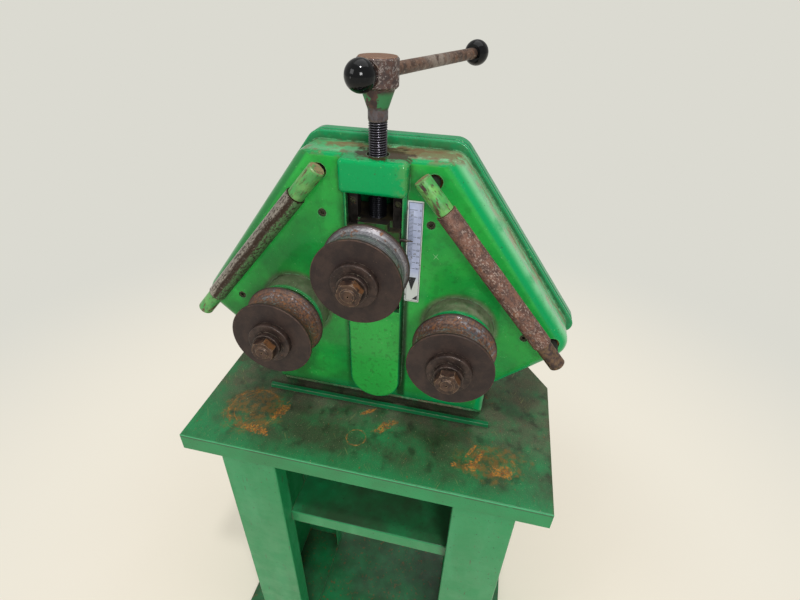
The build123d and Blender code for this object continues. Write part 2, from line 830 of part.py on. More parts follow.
def spacer(x, z, y_back):
    ring = rod(x, z, spacer_radius - 1, roll_back_y, y_back)
    return ring - rod(x, z, shaft_radius + seat_gap, roll_back_y - 1, y_back + 1)


def clamp_rings(x, z):
    collar_front = roll_face_y - collar_thickness
    collar = rod(x, z, collar_radius, collar_front, roll_face_y)
    collar = fillet(front_edges(collar, collar_front), 2.0)
    collar -= rod(x, z, shaft_radius + seat_gap, collar_front - 1, roll_face_y + 1)
    washer_front = collar_front - washer_thickness
    washer = rod(x, z, washer_radius, washer_front, collar_front)
    washer = fillet(front_edges(washer, washer_front), 1.2)
    washer -= rod(x, z, shaft_thread_radius + seat_gap, washer_front - 1, collar_front + 1)
    return [collar, washer]


def roll_nut(x, z, turn):
    back = roll_face_y - collar_thickness - washer_thickness
    prism = slab(Pos(x, z) * Rot(0, 0, turn) * hexagon(nut_across_flats), back - nut_thickness, back)
    corner = nut_across_flats / sqrt(3)
    dome = Pos(x, back - nut_thickness / 2, z) * Rot(90, 0, 0) * Cylinder(corner, nut_thickness)
    dome = chamfer(front_edges(dome, back - nut_thickness), 2.0)
    return (prism & dome) - rod(x, z, shaft_thread_radius + seat_gap, back - nut_thickness - 1, back + 1)


def involute(angle):
    return tan(angle) - angle


def gear_face(teeth, tooth_angle):
    """Spur gear seen from the front, one tooth centred on tooth_angle (degrees)."""
    pitch = gear_module * teeth / 2
    base = pitch * cos(radians(pressure_angle))
    root = pitch - 1.25 * gear_module
    tip = pitch + gear_module
    half_pitch = (pi / 2 - gear_backlash / gear_module) / teeth
    flank = []
    for radius in (max(base, root + 0.3), pitch - 0.4 * gear_module, pitch, pitch + 0.5 * gear_module, tip):
        turn = involute(radians(pressure_angle))
        if radius > base:
            turn -= involute(atan2(sqrt(radius ** 2 - base ** 2), base))
        flank.append((radius, half_pitch + turn))
    flank.insert(0, (root, flank[0][1]))
    points = []
    for i in range(teeth):
        middle = radians(tooth_angle) + 2 * pi * i / teeth
        for radius, half in flank:
            points.append((radius * cos(middle - half), radius * sin(middle - half)))
        for radius, half in reversed(flank):
            points.append((radius * cos(middle + half), radius * sin(middle + half)))
    return polygon(points)


def mesh_angle(side):
    """Tooth angle that puts a driven gear in mesh with the pinion, whose first tooth points along +X."""
    rise = lower_axis - pinion_axis
    seen = degrees(atan2(rise, side * lower_spread))
    pinion_share = seen * pinion_teeth / 360
    gear_share = 0.5 - pinion_share
    return seen + 180 - gear_share * 360 / gear_teeth


def driven_gear(side):
    x = side * lower_spread
    back = gear_front_y + gear_width
    body = slab(Pos(x, lower_axis) * gear_face(gear_teeth, mesh_angle(side)), gear_front_y, back)
    body += rod(x, lower_axis, gear_hub_radius, gear_front_y - 14, back + 6)
    body -= rod(x, lower_axis, shaft_radius + seat_gap, gear_front_y - 20, back + 20)
    for i in range(6):
        angle = 2 * pi * i / 6 + pi / 6
        reach = (gear_hub_radius + gear_pitch) / 2
        body -= rod(x + reach * cos(angle), lower_axis + reach * sin(angle), 15, gear_front_y - 1, back + 1)
    return body - key_seat(x, lower_axis, gear_front_y - 16, gear_width + 24, seat_gap)


def pinion_shaft():
    front = gear_front_y - 8
    body = slab(Pos(0, pinion_axis) * gear_face(pinion_teeth, 0.0), gear_front_y - 1,
                gear_front_y + gear_width + 1)
    body += rod(0, pinion_axis, pinion_shaft_radius + 4, front, gear_front_y + gear_width + 10)
    return body + rod(0, pinion_axis, pinion_shaft_radius, front, gearbox_front_y + gearbox_depth - 10)


# ---------- gearbox and motor ----------
def gearbox_housing():
    back = gearbox_front_y + gearbox_depth
    low = pinion_axis - gearbox_below
    high = pinion_axis + gearbox_above
    body = block(-gearbox_half_width, gearbox_half_width, gearbox_front_y, back, low, high)
    body = fillet(body.edges().filter_by(Axis.Y), 24)
    body = fillet(front_edges(body, back) + front_edges(body, gearbox_front_y), 5)
    body += rod(0, pinion_axis, gearbox_neck_radius, housing_back_y, gearbox_front_y + 1)
    body += rod(0, pinion_axis, gearbox_neck_radius, back - 1, back + 5)
    body += Pos(-gearbox_half_width, worm_y, worm_axis) * Rot(0, 90, 0) * Cylinder(48, 16)
    cavity = rod(0, pinion_axis, worm_wheel_radius + 2, gearbox_front_y + gearbox_wall, back - gearbox_wall)
    reach = gearbox_half_width - gearbox_wall
    tunnel = Pos(0, worm_y, worm_axis) * Rot(0, 90, 0) * Cylinder(worm_radius + 6, 2 * reach)
    body -= cavity + tunnel
    body -= Pos(-gearbox_half_width, worm_y, worm_axis) * Rot(0, 90, 0) * Cylinder(
        worm_shaft_radius + running_gap, 60)
    return body - rod(0, pinion_axis, pinion_shaft_radius + running_gap, housing_back_y - 1, back + 2)


def worm_wheel():
    width = worm_wheel_width
    wheel = rod(0, pinion_axis, worm_wheel_radius, worm_y - width / 2, worm_y + width / 2)
    wheel = chamfer(wheel.edges().filter_by(GeomType.CIRCLE), 3.0)
    return wheel - rod(0, pinion_axis, pinion_shaft_radius + seat_gap, worm_y - 40, worm_y + 40)


def motor_start_x():
    return -gearbox_half_width - 8


def worm_shaft():
    """Motor shaft with the worm on it: it reaches from the worm to the fan."""
    reach = gearbox_half_width - gearbox_wall - 3
    worm = Pos(0, worm_y, worm_axis) * Rot(0, 90, 0) * Cylinder(worm_radius, 60)
    worm = chamfer(worm.edges().filter_by(GeomType.CIRCLE), 2.0)
    end = motor_start_x() - motor_length - fan_cover_length + 16
    length = reach - end
    stem = Pos((reach + end) / 2, worm_y, worm_axis) * Rot(0, 90, 0) * Cylinder(worm_shaft_radius, length)
    return worm + stem


def motor_body():
    start = motor_start_x()
    middle = start - motor_length / 2
    core = Pos(middle, worm_y, worm_axis) * Rot(0, 90, 0) * Cylinder(motor_radius - motor_fin_depth, motor_length)
    for i in range(motor_fins):
        fin = Box(motor_length - 24, 2.4, motor_fin_depth + 2)
        place = Pos(middle, worm_y, worm_axis) * Rot(360 * i / motor_fins, 0, 0)
        core += place * Pos(0, 0, motor_radius - motor_fin_depth / 2 - 1) * fin
    for x in (start - 6, start - motor_length + 6):
        core += Pos(x, worm_y, worm_axis) * Rot(0, 90, 0) * Cylinder(motor_radius, 12)
    seat = motor_radius + 4
    core += block(middle - terminal_box_length / 2 + 4, middle + terminal_box_length / 2 - 4,
                  worm_y - terminal_box_width / 2 + 8, worm_y + terminal_box_width / 2 - 8,
                  worm_axis + motor_radius - 20, worm_axis + seat)
    return core - Pos(middle, worm_y, worm_axis) * Rot(0, 90, 0) * Cylinder(
        worm_shaft_radius + running_gap, motor_length + 4)


def motor_fan():
    x = motor_start_x() - motor_length - 14
    hub = Pos(x, worm_y, worm_axis) * Rot(0, 90, 0) * Cylinder(18, 16)
    for i in range(7):
        blade = Pos(0, 0, fan_radius / 2 + 6) * Box(14, 2.5, fan_radius - 12)
        hub += Pos(x, worm_y, worm_axis) * Rot(360 * i / 7, 0, 0) * blade
    return hub - Pos(x, worm_y, worm_axis) * Rot(0, 90, 0) * Cylinder(worm_shaft_radius, 40)


def fan_cover():
    start = motor_start_x() - motor_length
    middle = start - fan_cover_length / 2
    cup = Pos(middle, worm_y, worm_axis) * Rot(0, 90, 0) * Cylinder(motor_radius - 1, fan_cover_length)
    rear = [e for e in cup.edges().filter_by(GeomType.CIRCLE) if e.center().X < middle]
    cup = fillet(rear, 5)
    cup -= Pos(middle + 1.5, worm_y, worm_axis) * Rot(0, 90, 0) * Cylinder(motor_radius - 3, fan_cover_length - 2)
    for ring_radius, holes in ((16, 6), (30, 12), (44, 18)):
        for i in range(holes):
            place = Pos(middle, worm_y, worm_axis) * Rot(360 * i / holes, 0, 0) * Pos(0, 0, ring_radius)
            cup -= place * Pos(-fan_cover_length / 2, 0, 0) * Rot(0, 90, 0) * Cylinder(4.2, 10)
    return cup


def terminal_middle_x():
    return motor_start_x() - motor_length / 2


def terminal_box():
    bottom = worm_axis + motor_radius + 4
    half_x = terminal_box_length / 2
    half_y = terminal_box_width / 2
    x = terminal_middle_x()
    body = block(x - half_x, x + half_x, worm_y - half_y, worm_y + half_y, bottom, bottom + terminal_box_height)
    body = fillet(body.edges().filter_by(Axis.Z), 8)
    body = fillet(body.edges().group_by(Axis.Z)[-1], 3)
    body -= block(x - half_x + 4, x + half_x - 4, worm_y - half_y + 4, worm_y + half_y - 4,
                  bottom + 3, bottom + terminal_box_height - 4)
    hole = Rot(90, 0, 0) * Cylinder(gland_radius - 2, 12)
    return body - Pos(x, worm_y + half_y, bottom + terminal_box_height / 2) * hole


def cable_gland():
    y = worm_y + terminal_box_width / 2
    z = worm_axis + motor_radius + 4 + terminal_box_height / 2
    x = terminal_middle_x()
    nut = extrude(facing(y + 8) * Pos(x, z) * hexagon(2 * gland_radius), amount=8)
    dome = Pos(x, y + 13, z) * Rot(90, 0, 0) * Cylinder(gland_radius - 1, 10)
    dome = fillet(dome.edges().filter_by(GeomType.CIRCLE).sort_by(Axis.Y)[-1:], 3)
    stem = Pos(x, y - 2, z) * Rot(90, 0, 0) * Cylinder(gland_radius - 2 - seat_gap, 8)
    return nut + dome + stem - Pos(x, y, z) * Rot(90, 0, 0) * Cylinder(3.5, 60)


# ---------- side guides ----------
def guide_frame(side):
    """Plane at the guide bar's top end, normal down along the bar."""
    top = Vector(side * guide_top_x, guide_axis_y, table_top + guide_top_z)
    low = Vector(side * guide_bottom_x, guide_axis_y, table_top + guide_bottom_z)
    return Plane(origin=top, x_dir=(0, 1, 0), z_dir=(low - top).normalized())


def guide_station(side, distance):
    """Plane across the guide bar at a distance from its top end."""
    frame = guide_frame(side)
    return Plane(origin=frame.origin + frame.z_dir * distance, x_dir=frame.x_dir, z_dir=frame.z_dir)


def guide_length():
    return hypot(guide_bottom_x - guide_top_x, guide_bottom_z - guide_top_z)


def guide_bar(side):
    bar = extrude(guide_frame(side) * Circle(guide_bar_radius), amount=guide_length())
    bar = chamfer(bar.edges().filter_by(GeomType.CIRCLE), 1.5)
    groove = Circle(guide_bar_radius + 1) - Circle(guide_core_radius)
    length = guide_sleeve_end - guide_sleeve_start + 2 * sleeve_end_gap
    bar -= extrude(guide_station(side, guide_sleeve_start - sleeve_end_gap) * groove, amount=length)
    for x, z in guide_stud_places():
        if x * side > 0:
            bar += rod(x, z, stud_radius, guide_axis_y, stud_tail_y)
    return bar


def guide_sleeve(side):
    ring = Circle(guide_sleeve_radius) - Circle(guide_core_radius + running_gap)
    start = guide_station(side, guide_sleeve_start)
    return extrude(start * ring, amount=guide_sleeve_end - guide_sleeve_start)


def guide_collars(side):
    collars = []
    for x, z in guide_stud_places():
        if x * side > 0:
            ring = rod(x, z, stop_collar_radius, stud_tail_y - stop_collar_width - 2, stud_tail_y - 2)
            collars.append(ring - rod(x, z, stud_radius + seat_gap, stud_tail_y - 20, stud_tail_y))
    return collars


def guide_bushes():
    bushes = []
    front = front_face_y + bush_setback
    for x, z in guide_stud_places():
        bush = rod(x, z, bush_radius, front, front + bush_length)
        bushes.append(bush - rod(x, z, stud_radius + running_gap, front - 1, front + bush_length + 1))
    return bushes


def scale_plate():
    plate = block(scale_left, scale_left + scale_width, front_face_y - scale_thickness, front_face_y,
                  table_top + scale_bottom, table_top + scale_bottom + scale_height)
    return fillet(plate.edges().filter_by(Axis.Y), 1.0)


def bearing_covers():
    covers = []
    for side in (-1, 1):
        x = side * lower_spread
        front = boss_front_y - bearing_cover_thickness
        ring = rod(x, lower_axis, boss_radius, front, boss_front_y)
        ring = fillet(front_edges(ring, front), 2.0)
        covers.append(ring - rod(x, lower_axis, spacer_radius, front - 1, boss_front_y + 1))
    return covers


# ---------- write every sub-part ----------
save("base_plate", base_plate())
save("left_pedestal", pedestal(-1))
save("right_pedestal", pedestal(1))
save("shelf", shelf())
save("table_tray", table_tray())
save("ridge_bar", ridge_bar())
save("stand_bolts", *stand_bolts())
save("plinth", plinth())
save("plinth_screws", *plinth_screws())
save("front_casting", front_casting())
save("rear_casting", rear_casting())
save("housing_screws", *housing_screws())
save("face_screws", *face_screws())
save("bearing_covers", *bearing_covers())
save("guide_rails", guide_rail(-1), guide_rail(1))
save("rail_screws", *rail_screws())
save("scale_plate", scale_plate())
save("screw_nut", screw_nut())
save("guide_bushes", *guide_bushes())

save("top_slide", top_slide())
save("slide_pointer", slide_pointer())
save("slide_bearings", *(bearing(0, upper_axis, slide_front_bearing_y, slide_bearing_outer_radius,
                                 slide_bearing_width)
                         + bearing(0, upper_axis, slide_back_bearing_y, slide_bearing_outer_radius,
                                   slide_bearing_width)))
save("pressure_screw", pressure_screw())
save("screw_keeper", screw_keeper())
save("tommy_bar", tommy_bar())
save("tommy_knobs", knob(-handle_front_reach, 1), knob(handle_back_reach, -1))

roll_key = (roll_face_y + (roll_width - key_length) / 2, key_length)
gear_key = (gear_front_y - 12, gear_width + 12)
save("upper_shaft", *shaft(0, upper_axis, slide_block_back_y - 2, [roll_key]))
save("upper_roll", *roll(0, upper_axis, False))
save("upper_spacer", spacer(0, upper_axis, slide_front_bearing_y))
save("upper_clamp_rings", *clamp_rings(0, upper_axis))
save("upper_nut", roll_nut(0, upper_axis, 12.0))

for side, name, nut_turn in ((-1, "left", 20.0), (1, "right", 2.0)):
    x = side * lower_spread
    save(f"{name}_shaft", *shaft(x, lower_axis, rear_cavity_y - 1, [roll_key, gear_key]))
    save(f"{name}_roll", *roll(x, lower_axis, True))
    save(f"{name}_spacer", spacer(x, lower_axis, front_bearing_y))
    save(f"{name}_clamp_rings", *clamp_rings(x, lower_axis))
    save(f"{name}_nut", roll_nut(x, lower_axis, nut_turn))
    save(f"{name}_gear", driven_gear(side))
    save(f"{name}_guide_bar", guide_bar(side))
    save(f"{name}_guide_sleeve", guide_sleeve(side))
    save(f"{name}_guide_collars", *guide_collars(side))

for name, y in (("front_bearings", front_bearing_y), ("back_bearings", back_bearing_y)):
    rings = []
    for side in (-1, 1):
        rings += bearing(side * lower_spread, lower_axis, y, bearing_outer_radius, bearing_width)
    save(name, *rings)

save("pinion_shaft", pinion_shaft())
save("gearbox_housing", gearbox_housing())
save("worm_wheel", worm_wheel())
save("worm_shaft", worm_shaft())
save("motor_body", motor_body())
save("motor_fan", motor_fan())
save("fan_cover", fan_cover())
save("terminal_box", terminal_box())
save("cable_gland", cable_gland())
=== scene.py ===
"""The finishes and fine shapes of a floor-standing ring roller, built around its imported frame."""

import math

import bmesh
import bpy
from mathutils import Matrix, Vector


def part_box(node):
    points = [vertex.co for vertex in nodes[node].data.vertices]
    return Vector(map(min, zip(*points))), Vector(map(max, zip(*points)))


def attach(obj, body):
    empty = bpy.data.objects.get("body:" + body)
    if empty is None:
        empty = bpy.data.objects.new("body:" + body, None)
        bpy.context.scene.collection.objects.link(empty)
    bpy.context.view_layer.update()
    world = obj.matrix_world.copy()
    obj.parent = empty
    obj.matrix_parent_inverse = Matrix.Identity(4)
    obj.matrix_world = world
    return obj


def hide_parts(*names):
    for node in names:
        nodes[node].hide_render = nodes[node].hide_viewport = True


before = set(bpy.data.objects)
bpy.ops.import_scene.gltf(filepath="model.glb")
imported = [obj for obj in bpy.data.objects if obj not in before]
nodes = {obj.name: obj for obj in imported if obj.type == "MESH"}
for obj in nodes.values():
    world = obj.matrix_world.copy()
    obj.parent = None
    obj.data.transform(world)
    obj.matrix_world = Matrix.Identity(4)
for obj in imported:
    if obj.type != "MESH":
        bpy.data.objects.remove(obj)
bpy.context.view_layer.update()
mm = 0.001

# ---------------------------------------------------------------------------------------------
# The view and the studio. The machine is seen from above and in front, a little from the right,
# by a wide lens held close to it. It stands on a pale floor, in soft light from a high ceiling.

view_width_px = 800
focal_length_px = 463.794
sensor_mm = 36.0
camera_place = Vector((153.353, -618.682, 1322.372)) * mm
camera_yaw = -0.203520
camera_pitch = -0.597174
camera_roll = 0.032399

forward = Vector((math.sin(camera_yaw) * math.cos(camera_pitch),
                  math.cos(camera_yaw) * math.cos(camera_pitch),
                  math.sin(camera_pitch)))
level_right = Vector((math.cos(camera_yaw), -math.sin(camera_yaw), 0.0))
level_up = level_right.cross(forward)
camera_right = math.cos(camera_roll) * level_right + math.sin(camera_roll) * level_up
camera_up = math.cos(camera_roll) * level_up - math.sin(camera_roll) * level_right

lens = bpy.data.cameras.new("camera")
lens.sensor_width = sensor_mm
lens.lens = focal_length_px / view_width_px * sensor_mm
lens.clip_start = 0.02
lens.clip_end = 60.0
camera = bpy.data.objects.new("camera", lens)
camera.matrix_world = Matrix((
    (camera_right.x, camera_up.x, -forward.x, camera_place.x),
    (camera_right.y, camera_up.y, -forward.y, camera_place.y),
    (camera_right.z, camera_up.z, -forward.z, camera_place.z),
    (0.0, 0.0, 0.0, 1.0)))
bpy.context.scene.collection.objects.link(camera)
bpy.context.scene.camera = camera
bpy.context.scene.view_settings.view_transform = "Standard"


def paint(red, green, blue):
    """A colour given as it looks on a screen, 0 to 255, as the linear colour that a shader takes."""
    def linear(level):
        share = level / 255
        return share / 12.92 if share <= 0.04045 else ((share + 0.055) / 1.055) ** 2.4
    return linear(red), linear(green), linear(blue), 1.0


def softbox(name, place, aim, size, power):
    """A square lamp at place, turned towards aim."""
    light = bpy.data.lights.new(name, "AREA")
    light.size = size
    light.energy = power
    lamp = bpy.data.objects.new(name, light)
    lamp.location = place
    lamp.rotation_euler = (Vector(aim) - Vector(place)).to_track_quat("-Z", "Y").to_euler()
    bpy.context.scene.collection.objects.link(lamp)


softbox("ceiling_lamp", (0.2, 0.3, 3.3), (0.0, 0.0, 0.8), 2.4, 20.0)
softbox("window_lamp", (-1.9, -1.7, 2.4), (0.0, 0.0, 0.85), 1.2, 15.0)
softbox("door_lamp", (1.2, -2.9, 2.4), (0.0, 0.0, 0.9), 0.9, 54.0)
softbox("tube_lamp", (0.30, -0.8, 2.9), (0.0, -0.1, 0.9), 0.16, 16.0)
far_tone = paint(219, 218, 209)
near_tone = paint(238, 232, 217)
sky_light = (1.0, 0.98, 0.95, 1.0)
sky_strength = 0.44


def seen_directly(tree):
    """1 where the camera, a reflection or a clear surface shows the backdrop, 0 where it only lights."""
    rays = tree.nodes.new("ShaderNodeLightPath")
    seen = rays.outputs["Is Camera Ray"]
    for kind in ("Is Glossy Ray", "Is Transmission Ray"):
        either = tree.nodes.new("ShaderNodeMath")
        either.operation = "MAXIMUM"
        tree.links.new(seen, either.inputs[0])
        tree.links.new(rays.outputs[kind], either.inputs[1])
        seen = either.outputs[0]
    return seen


def light_the_room():
    """An even pale room: it lights the machine softly, and looks like the floor's far end."""
    world = bpy.data.worlds.new("studio")
    bpy.context.scene.world = world
    world.use_nodes = True
    tree = world.node_tree
    lighting = tree.nodes["Background"]
    lighting.inputs["Color"].default_value = sky_light
    lighting.inputs["Strength"].default_value = sky_strength
    shown = tree.nodes.new("ShaderNodeBackground")
    shown.inputs["Color"].default_value = far_tone
    mix = tree.nodes.new("ShaderNodeMixShader")
    rays = tree.nodes.new("ShaderNodeLightPath")
    tree.links.new(rays.outputs["Is Camera Ray"], mix.inputs["Fac"])
    tree.links.new(lighting.outputs[0], mix.inputs[1])
    tree.links.new(shown.outputs[0], mix.inputs[2])
    tree.links.new(mix.outputs[0], tree.nodes["World Output"].inputs["Surface"])


light_the_room()
floor_reach = 14.0
floor_mesh = bpy.data.meshes.new("shop_floor")
floor_mesh.from_pydata([(-floor_reach, -floor_reach, 0.0), (floor_reach, -floor_reach, 0.0),
                        (floor_reach, floor_reach, 0.0), (-floor_reach, floor_reach, 0.0)],
                       [], [(0, 1, 2, 3)])
shop_floor = bpy.data.objects.new("shop_floor", floor_mesh)
bpy.context.scene.collection.objects.link(shop_floor)


# ---------------------------------------------------------------------------------------------
# The stand: two folded sheet-metal legs, a shelf between them, a folded top tray and a base plate.
# All is welded steel sheet brushed with green enamel. The tray's top is where the work is done, so
# its paint is dark with oil and swarf, and it has rust where wet rings and offcuts lay.

class Value:
    """What a finish's nodes give at each point: a share from 0 to 1, a length, a place or a colour.

    first * second is where both are, first | second is where either is, 1 - first is all the rest.
    """

    def __init__(self, finish, socket):
        self.finish = finish
        self.socket = socket

    def __add__(self, other):
        return self.finish.math("ADD", self, other)

    def __sub__(self, other):
        return self.finish.math("SUBTRACT", self, other)

    def __rsub__(self, other):
        return self.finish.math("SUBTRACT", other, self)

    def __mul__(self, other):
        return self.finish.math("MULTIPLY", self, other)

    def __or__(self, other):
        return self.finish.math("MAXIMUM", self, other)

    def __ror__(self, other):
        return self.finish.math("MAXIMUM", other, self)

    def __abs__(self):
        return self.finish.math("ABSOLUTE", self)

    def step(self, low, high):
        """0 on low's side and 1 on high's side, smooth between them. low may be the larger."""
        ends = {"Value": self, "From Min": low, "From Max": high}
        return self.finish.add("MapRange", ends, "Result", interpolation_type="SMOOTHSTEP")

    def scaled(self, low, high):
        """A 0 to 1 value spread from low to high."""
        return self.finish.add("MapRange", {"Value": self, "To Min": low, "To Max": high}, "Result")

    def within(self, low, high, soft):
        """1 where the value lies between low and high, fading over soft at both ends."""
        return self.step(low - soft, low + soft) * self.step(high + soft, high - soft)

    def axis(self, letter):
        return self.finish.add("SeparateXYZ", {0: self}, letter)

    def length(self):
        return self.finish.vector("LENGTH", self, output="Value")

    def turned(self, letter, degrees):
        """A place or a direction, turned about one of the machine's own axes."""
        return self.finish.add("VectorRotate", {"Vector": self, "Angle": math.radians(degrees)}, "Vector",
                               rotation_type=letter + "_AXIS")


class Finish:
    """A surface finish under way. Its colour is built up in coats, each laid over the ones before."""

    def __init__(self, name):
        self.material = bpy.data.materials.new(name)
        self.material.use_nodes = True
        self.tree = self.material.node_tree
        self.shader = self.tree.nodes["Principled BSDF"]
        self.colour = None
        self.place = self.add("TexCoord", {}, "Object")
        self.normal = self.add("TexCoord", {}, "Normal")
        self.x, self.y, self.z = (self.place.axis(letter) for letter in "XYZ")

    def put(self, socket, value):
        """Links a value to a socket, or sets a constant on it."""
        if isinstance(value, Value):
            value = value.socket
        if isinstance(value, bpy.types.NodeSocket):
            self.tree.links.new(value, socket)
        else:
            socket.default_value = value

    def add(self, kind, inputs, output, **settings):
        """Adds a node with these inputs and settings, and returns one of its outputs."""
        made = self.tree.nodes.new("ShaderNode" + kind)
        for setting, value in settings.items():
            setattr(made, setting, value)
        for socket, value in inputs.items():
            self.put(made.inputs[socket], value)
        return Value(self, made.outputs[output])

    def math(self, operation, first, second=0.0):
        return self.add("Math", {0: first, 1: second}, 0, operation=operation)

    def vector(self, operation, first, second=(0.0, 0.0, 0.0), output="Vector"):
        return self.add("VectorMath", {0: first, 1: second}, output, operation=operation)

    def mix(self, share, first, second):
        """first where share is 0 and second where it is 1."""
        return self.add("Mix", {0: share, 6: first, 7: second}, 2, data_type="RGBA")

    def lay(self, tone, where):
        """One more coat, of tone, over the colour so far."""
        self.colour = self.mix(where, self.colour, tone)

    def noise(self, size, seed, detail=4.0, stretch=None, place=None):
        """Clouds of about size metres, from 0 to 1 around 0.5. stretch makes them longer along x, y, z."""
        place = place or self.place
        if stretch:
            place = self.vector("DIVIDE", place, stretch)
        inputs = {"Vector": place, "W": seed, "Scale": 1.0 / size, "Detail": detail, "Roughness": 0.58}
        return self.add("TexNoise", inputs, "Fac", noise_dimensions="4D")

    def flecks(self, size, coverage, seed):
        """Small sharp-edged chips: the parts of a noise above a level that leaves about that share."""
        level = 0.5 + 0.17 * (1.0 - 2.0 * coverage)
        return self.noise(size, seed, 5.0).step(level, level + 0.025)

    def edges(self, width):
        """1 along sharp edges, to about width either side of them."""
        rounded = self.add("Bevel", {"Radius": width}, "Normal", samples=6)
        facing = self.add("NewGeometry", {}, "Normal")
        return self.vector("DOT_PRODUCT", rounded, facing, "Value").step(0.995, 0.93)

    def corners(self, reach):
        """1 in corners and under what stands over a surface, where little light reaches: a mask for painted
        shade.
        """
        return self.add("AmbientOcclusion", {"Distance": reach}, "AO", samples=8).step(0.92, 0.35)

    def spot(self, centre, radii, turn, ragged, size, seed):
        """An uneven blot round centre with radii along x, y and z, turned about z by turn degrees."""
        place = self.vector("SUBTRACT", self.place, centre)
        if turn:
            place = place.turned("Z", -turn)
        away = self.vector("DIVIDE", place, radii).length()
        unevenness = (self.noise(size, seed, 5.0) - 0.5) * (ragged * 5.0)
        return (away + unevenness).step(1.15, 0.75)

    def done(self, roughness, height=None, depth=0.0002, metal=0.0, reflection=0.5, coat=0.0):
        """Hands all to the shader, with height as a bump of depth metres, and returns the material."""
        for socket, value in (("Base Color", self.colour), ("Roughness", roughness), ("Metallic", metal),
                              ("Specular IOR Level", reflection), ("Coat Weight", coat),
                              ("Coat Roughness", 0.08)):
            self.put(self.shader.inputs[socket], value)
        if height is not None:
            bump = self.add("Bump", {"Distance": depth, "Height": height}, "Normal")
            self.put(self.shader.inputs["Normal"], bump)
        return self.material


def dress(material, *names):
    """Gives CAD nodes their finish."""
    for name in names:
        slots = nodes[name].data.materials
        slots.clear()
        slots.append(material)


def floor_finish():
    """Pale screed. It keeps the machine's shadow, and runs out into the room's even tone."""
    finish = Finish("pale_floor")
    clouds = finish.noise(0.9, 3.0, 3.0).step(0.3, 0.7)
    finish.colour = finish.mix(clouds, paint(246, 238, 222), paint(240, 232, 216))
    finish.done(0.8, reflection=0.2)
    away = finish.place.length()
    room_tone = finish.mix(away.step(0.9, 2.2), near_tone, far_tone)
    even = finish.add("Emission", {"Color": room_tone}, 0)
    outside = away.step(0.45, 1.1) * seen_directly(finish.tree)
    screed = finish.shader.outputs[0]
    shown = finish.add("MixShader", {"Fac": outside, 1: screed, 2: even}, 0)
    finish.put(finish.tree.nodes["Material Output"].inputs["Surface"], shown)
    return finish.material


floor_mesh.materials.append(floor_finish())

enamel_green = paint(24, 132, 76)
enamel_pale = paint(52, 148, 96)
enamel_dull = paint(32, 116, 66)
bare_sheet = paint(96, 84, 70)
grime_brown = paint(64, 56, 40)
grime_black = paint(33, 34, 25)
rust_orange = paint(176, 116, 40)
rust_brown = paint(116, 72, 36)
tray_top = 0.7


def sheet_enamel(name, base, rubbing):
    """Brushed green enamel on sheet steel, worn through at the folds and spattered with dark oil."""
    finish = Finish(name)
    clouds = finish.noise(0.16, 1.0).step(0.35, 0.68)
    finish.colour = finish.mix(clouds * rubbing, base, enamel_dull)
    wiped = finish.noise(0.035, 2.0, 7.0, (1.0, 1.0, 5.0)).step(0.46, 0.66)
    finish.lay(enamel_pale, wiped * rubbing)
    spatter = finish.flecks(0.0042, 0.08, 4.0)
    finish.lay(paint(24, 70, 42), spatter * 0.75)
    splashes = finish.flecks(0.006, 0.03, 12.0)
    finish.lay(grime_brown, splashes * 0.75)
    drips = finish.noise(0.006, 10.0, 4.0, (1.0, 1.0, 9.0)).step(0.66, 0.69)
    finish.lay(grime_brown, drips * 0.6)
    # Painted shade with grime: the upward faces under the tray's top, such as the shelf and the base plate,
    # are darkened.
    upward = finish.normal.axis("Z").step(0.7, 0.95)
    shade_and_grime_under_tray = (upward * (1 - finish.z.step(0.69, 0.7))
            * finish.noise(0.09, 11.0, 8.0).step(0.24, 0.66))
    finish.lay(paint(44, 54, 38), shade_and_grime_under_tray * 0.85)
    # Painted shade: corners and faces under overhangs are darkened, broken up by noise.
    corners = finish.corners(0.04) * finish.noise(0.03, 5.0).step(0.3, 0.6)
    finish.lay(paint(38, 44, 30), corners * (0.2 + rubbing))
    worn = finish.edges(0.0014) * finish.noise(0.012, 6.0, 5.0).step(0.44, 0.52)
    finish.lay(bare_sheet, worn)
    low = finish.z.step(0.07, 0.0) * finish.noise(0.007, 8.0, 8.0).step(0.58, 0.63)
    finish.lay(rust_brown, low * 0.55)
    gloss = finish.noise(0.03, 7.0).step(0.3, 0.7).scaled(0.32, 0.5)
    brush = finish.noise(0.0016, 9.0, 3.0, (14.0, 14.0, 1.0))
    height = brush * 0.35 - worn
    return finish.done(gloss, height, 0.00022, reflection=0.32, coat=0.15)


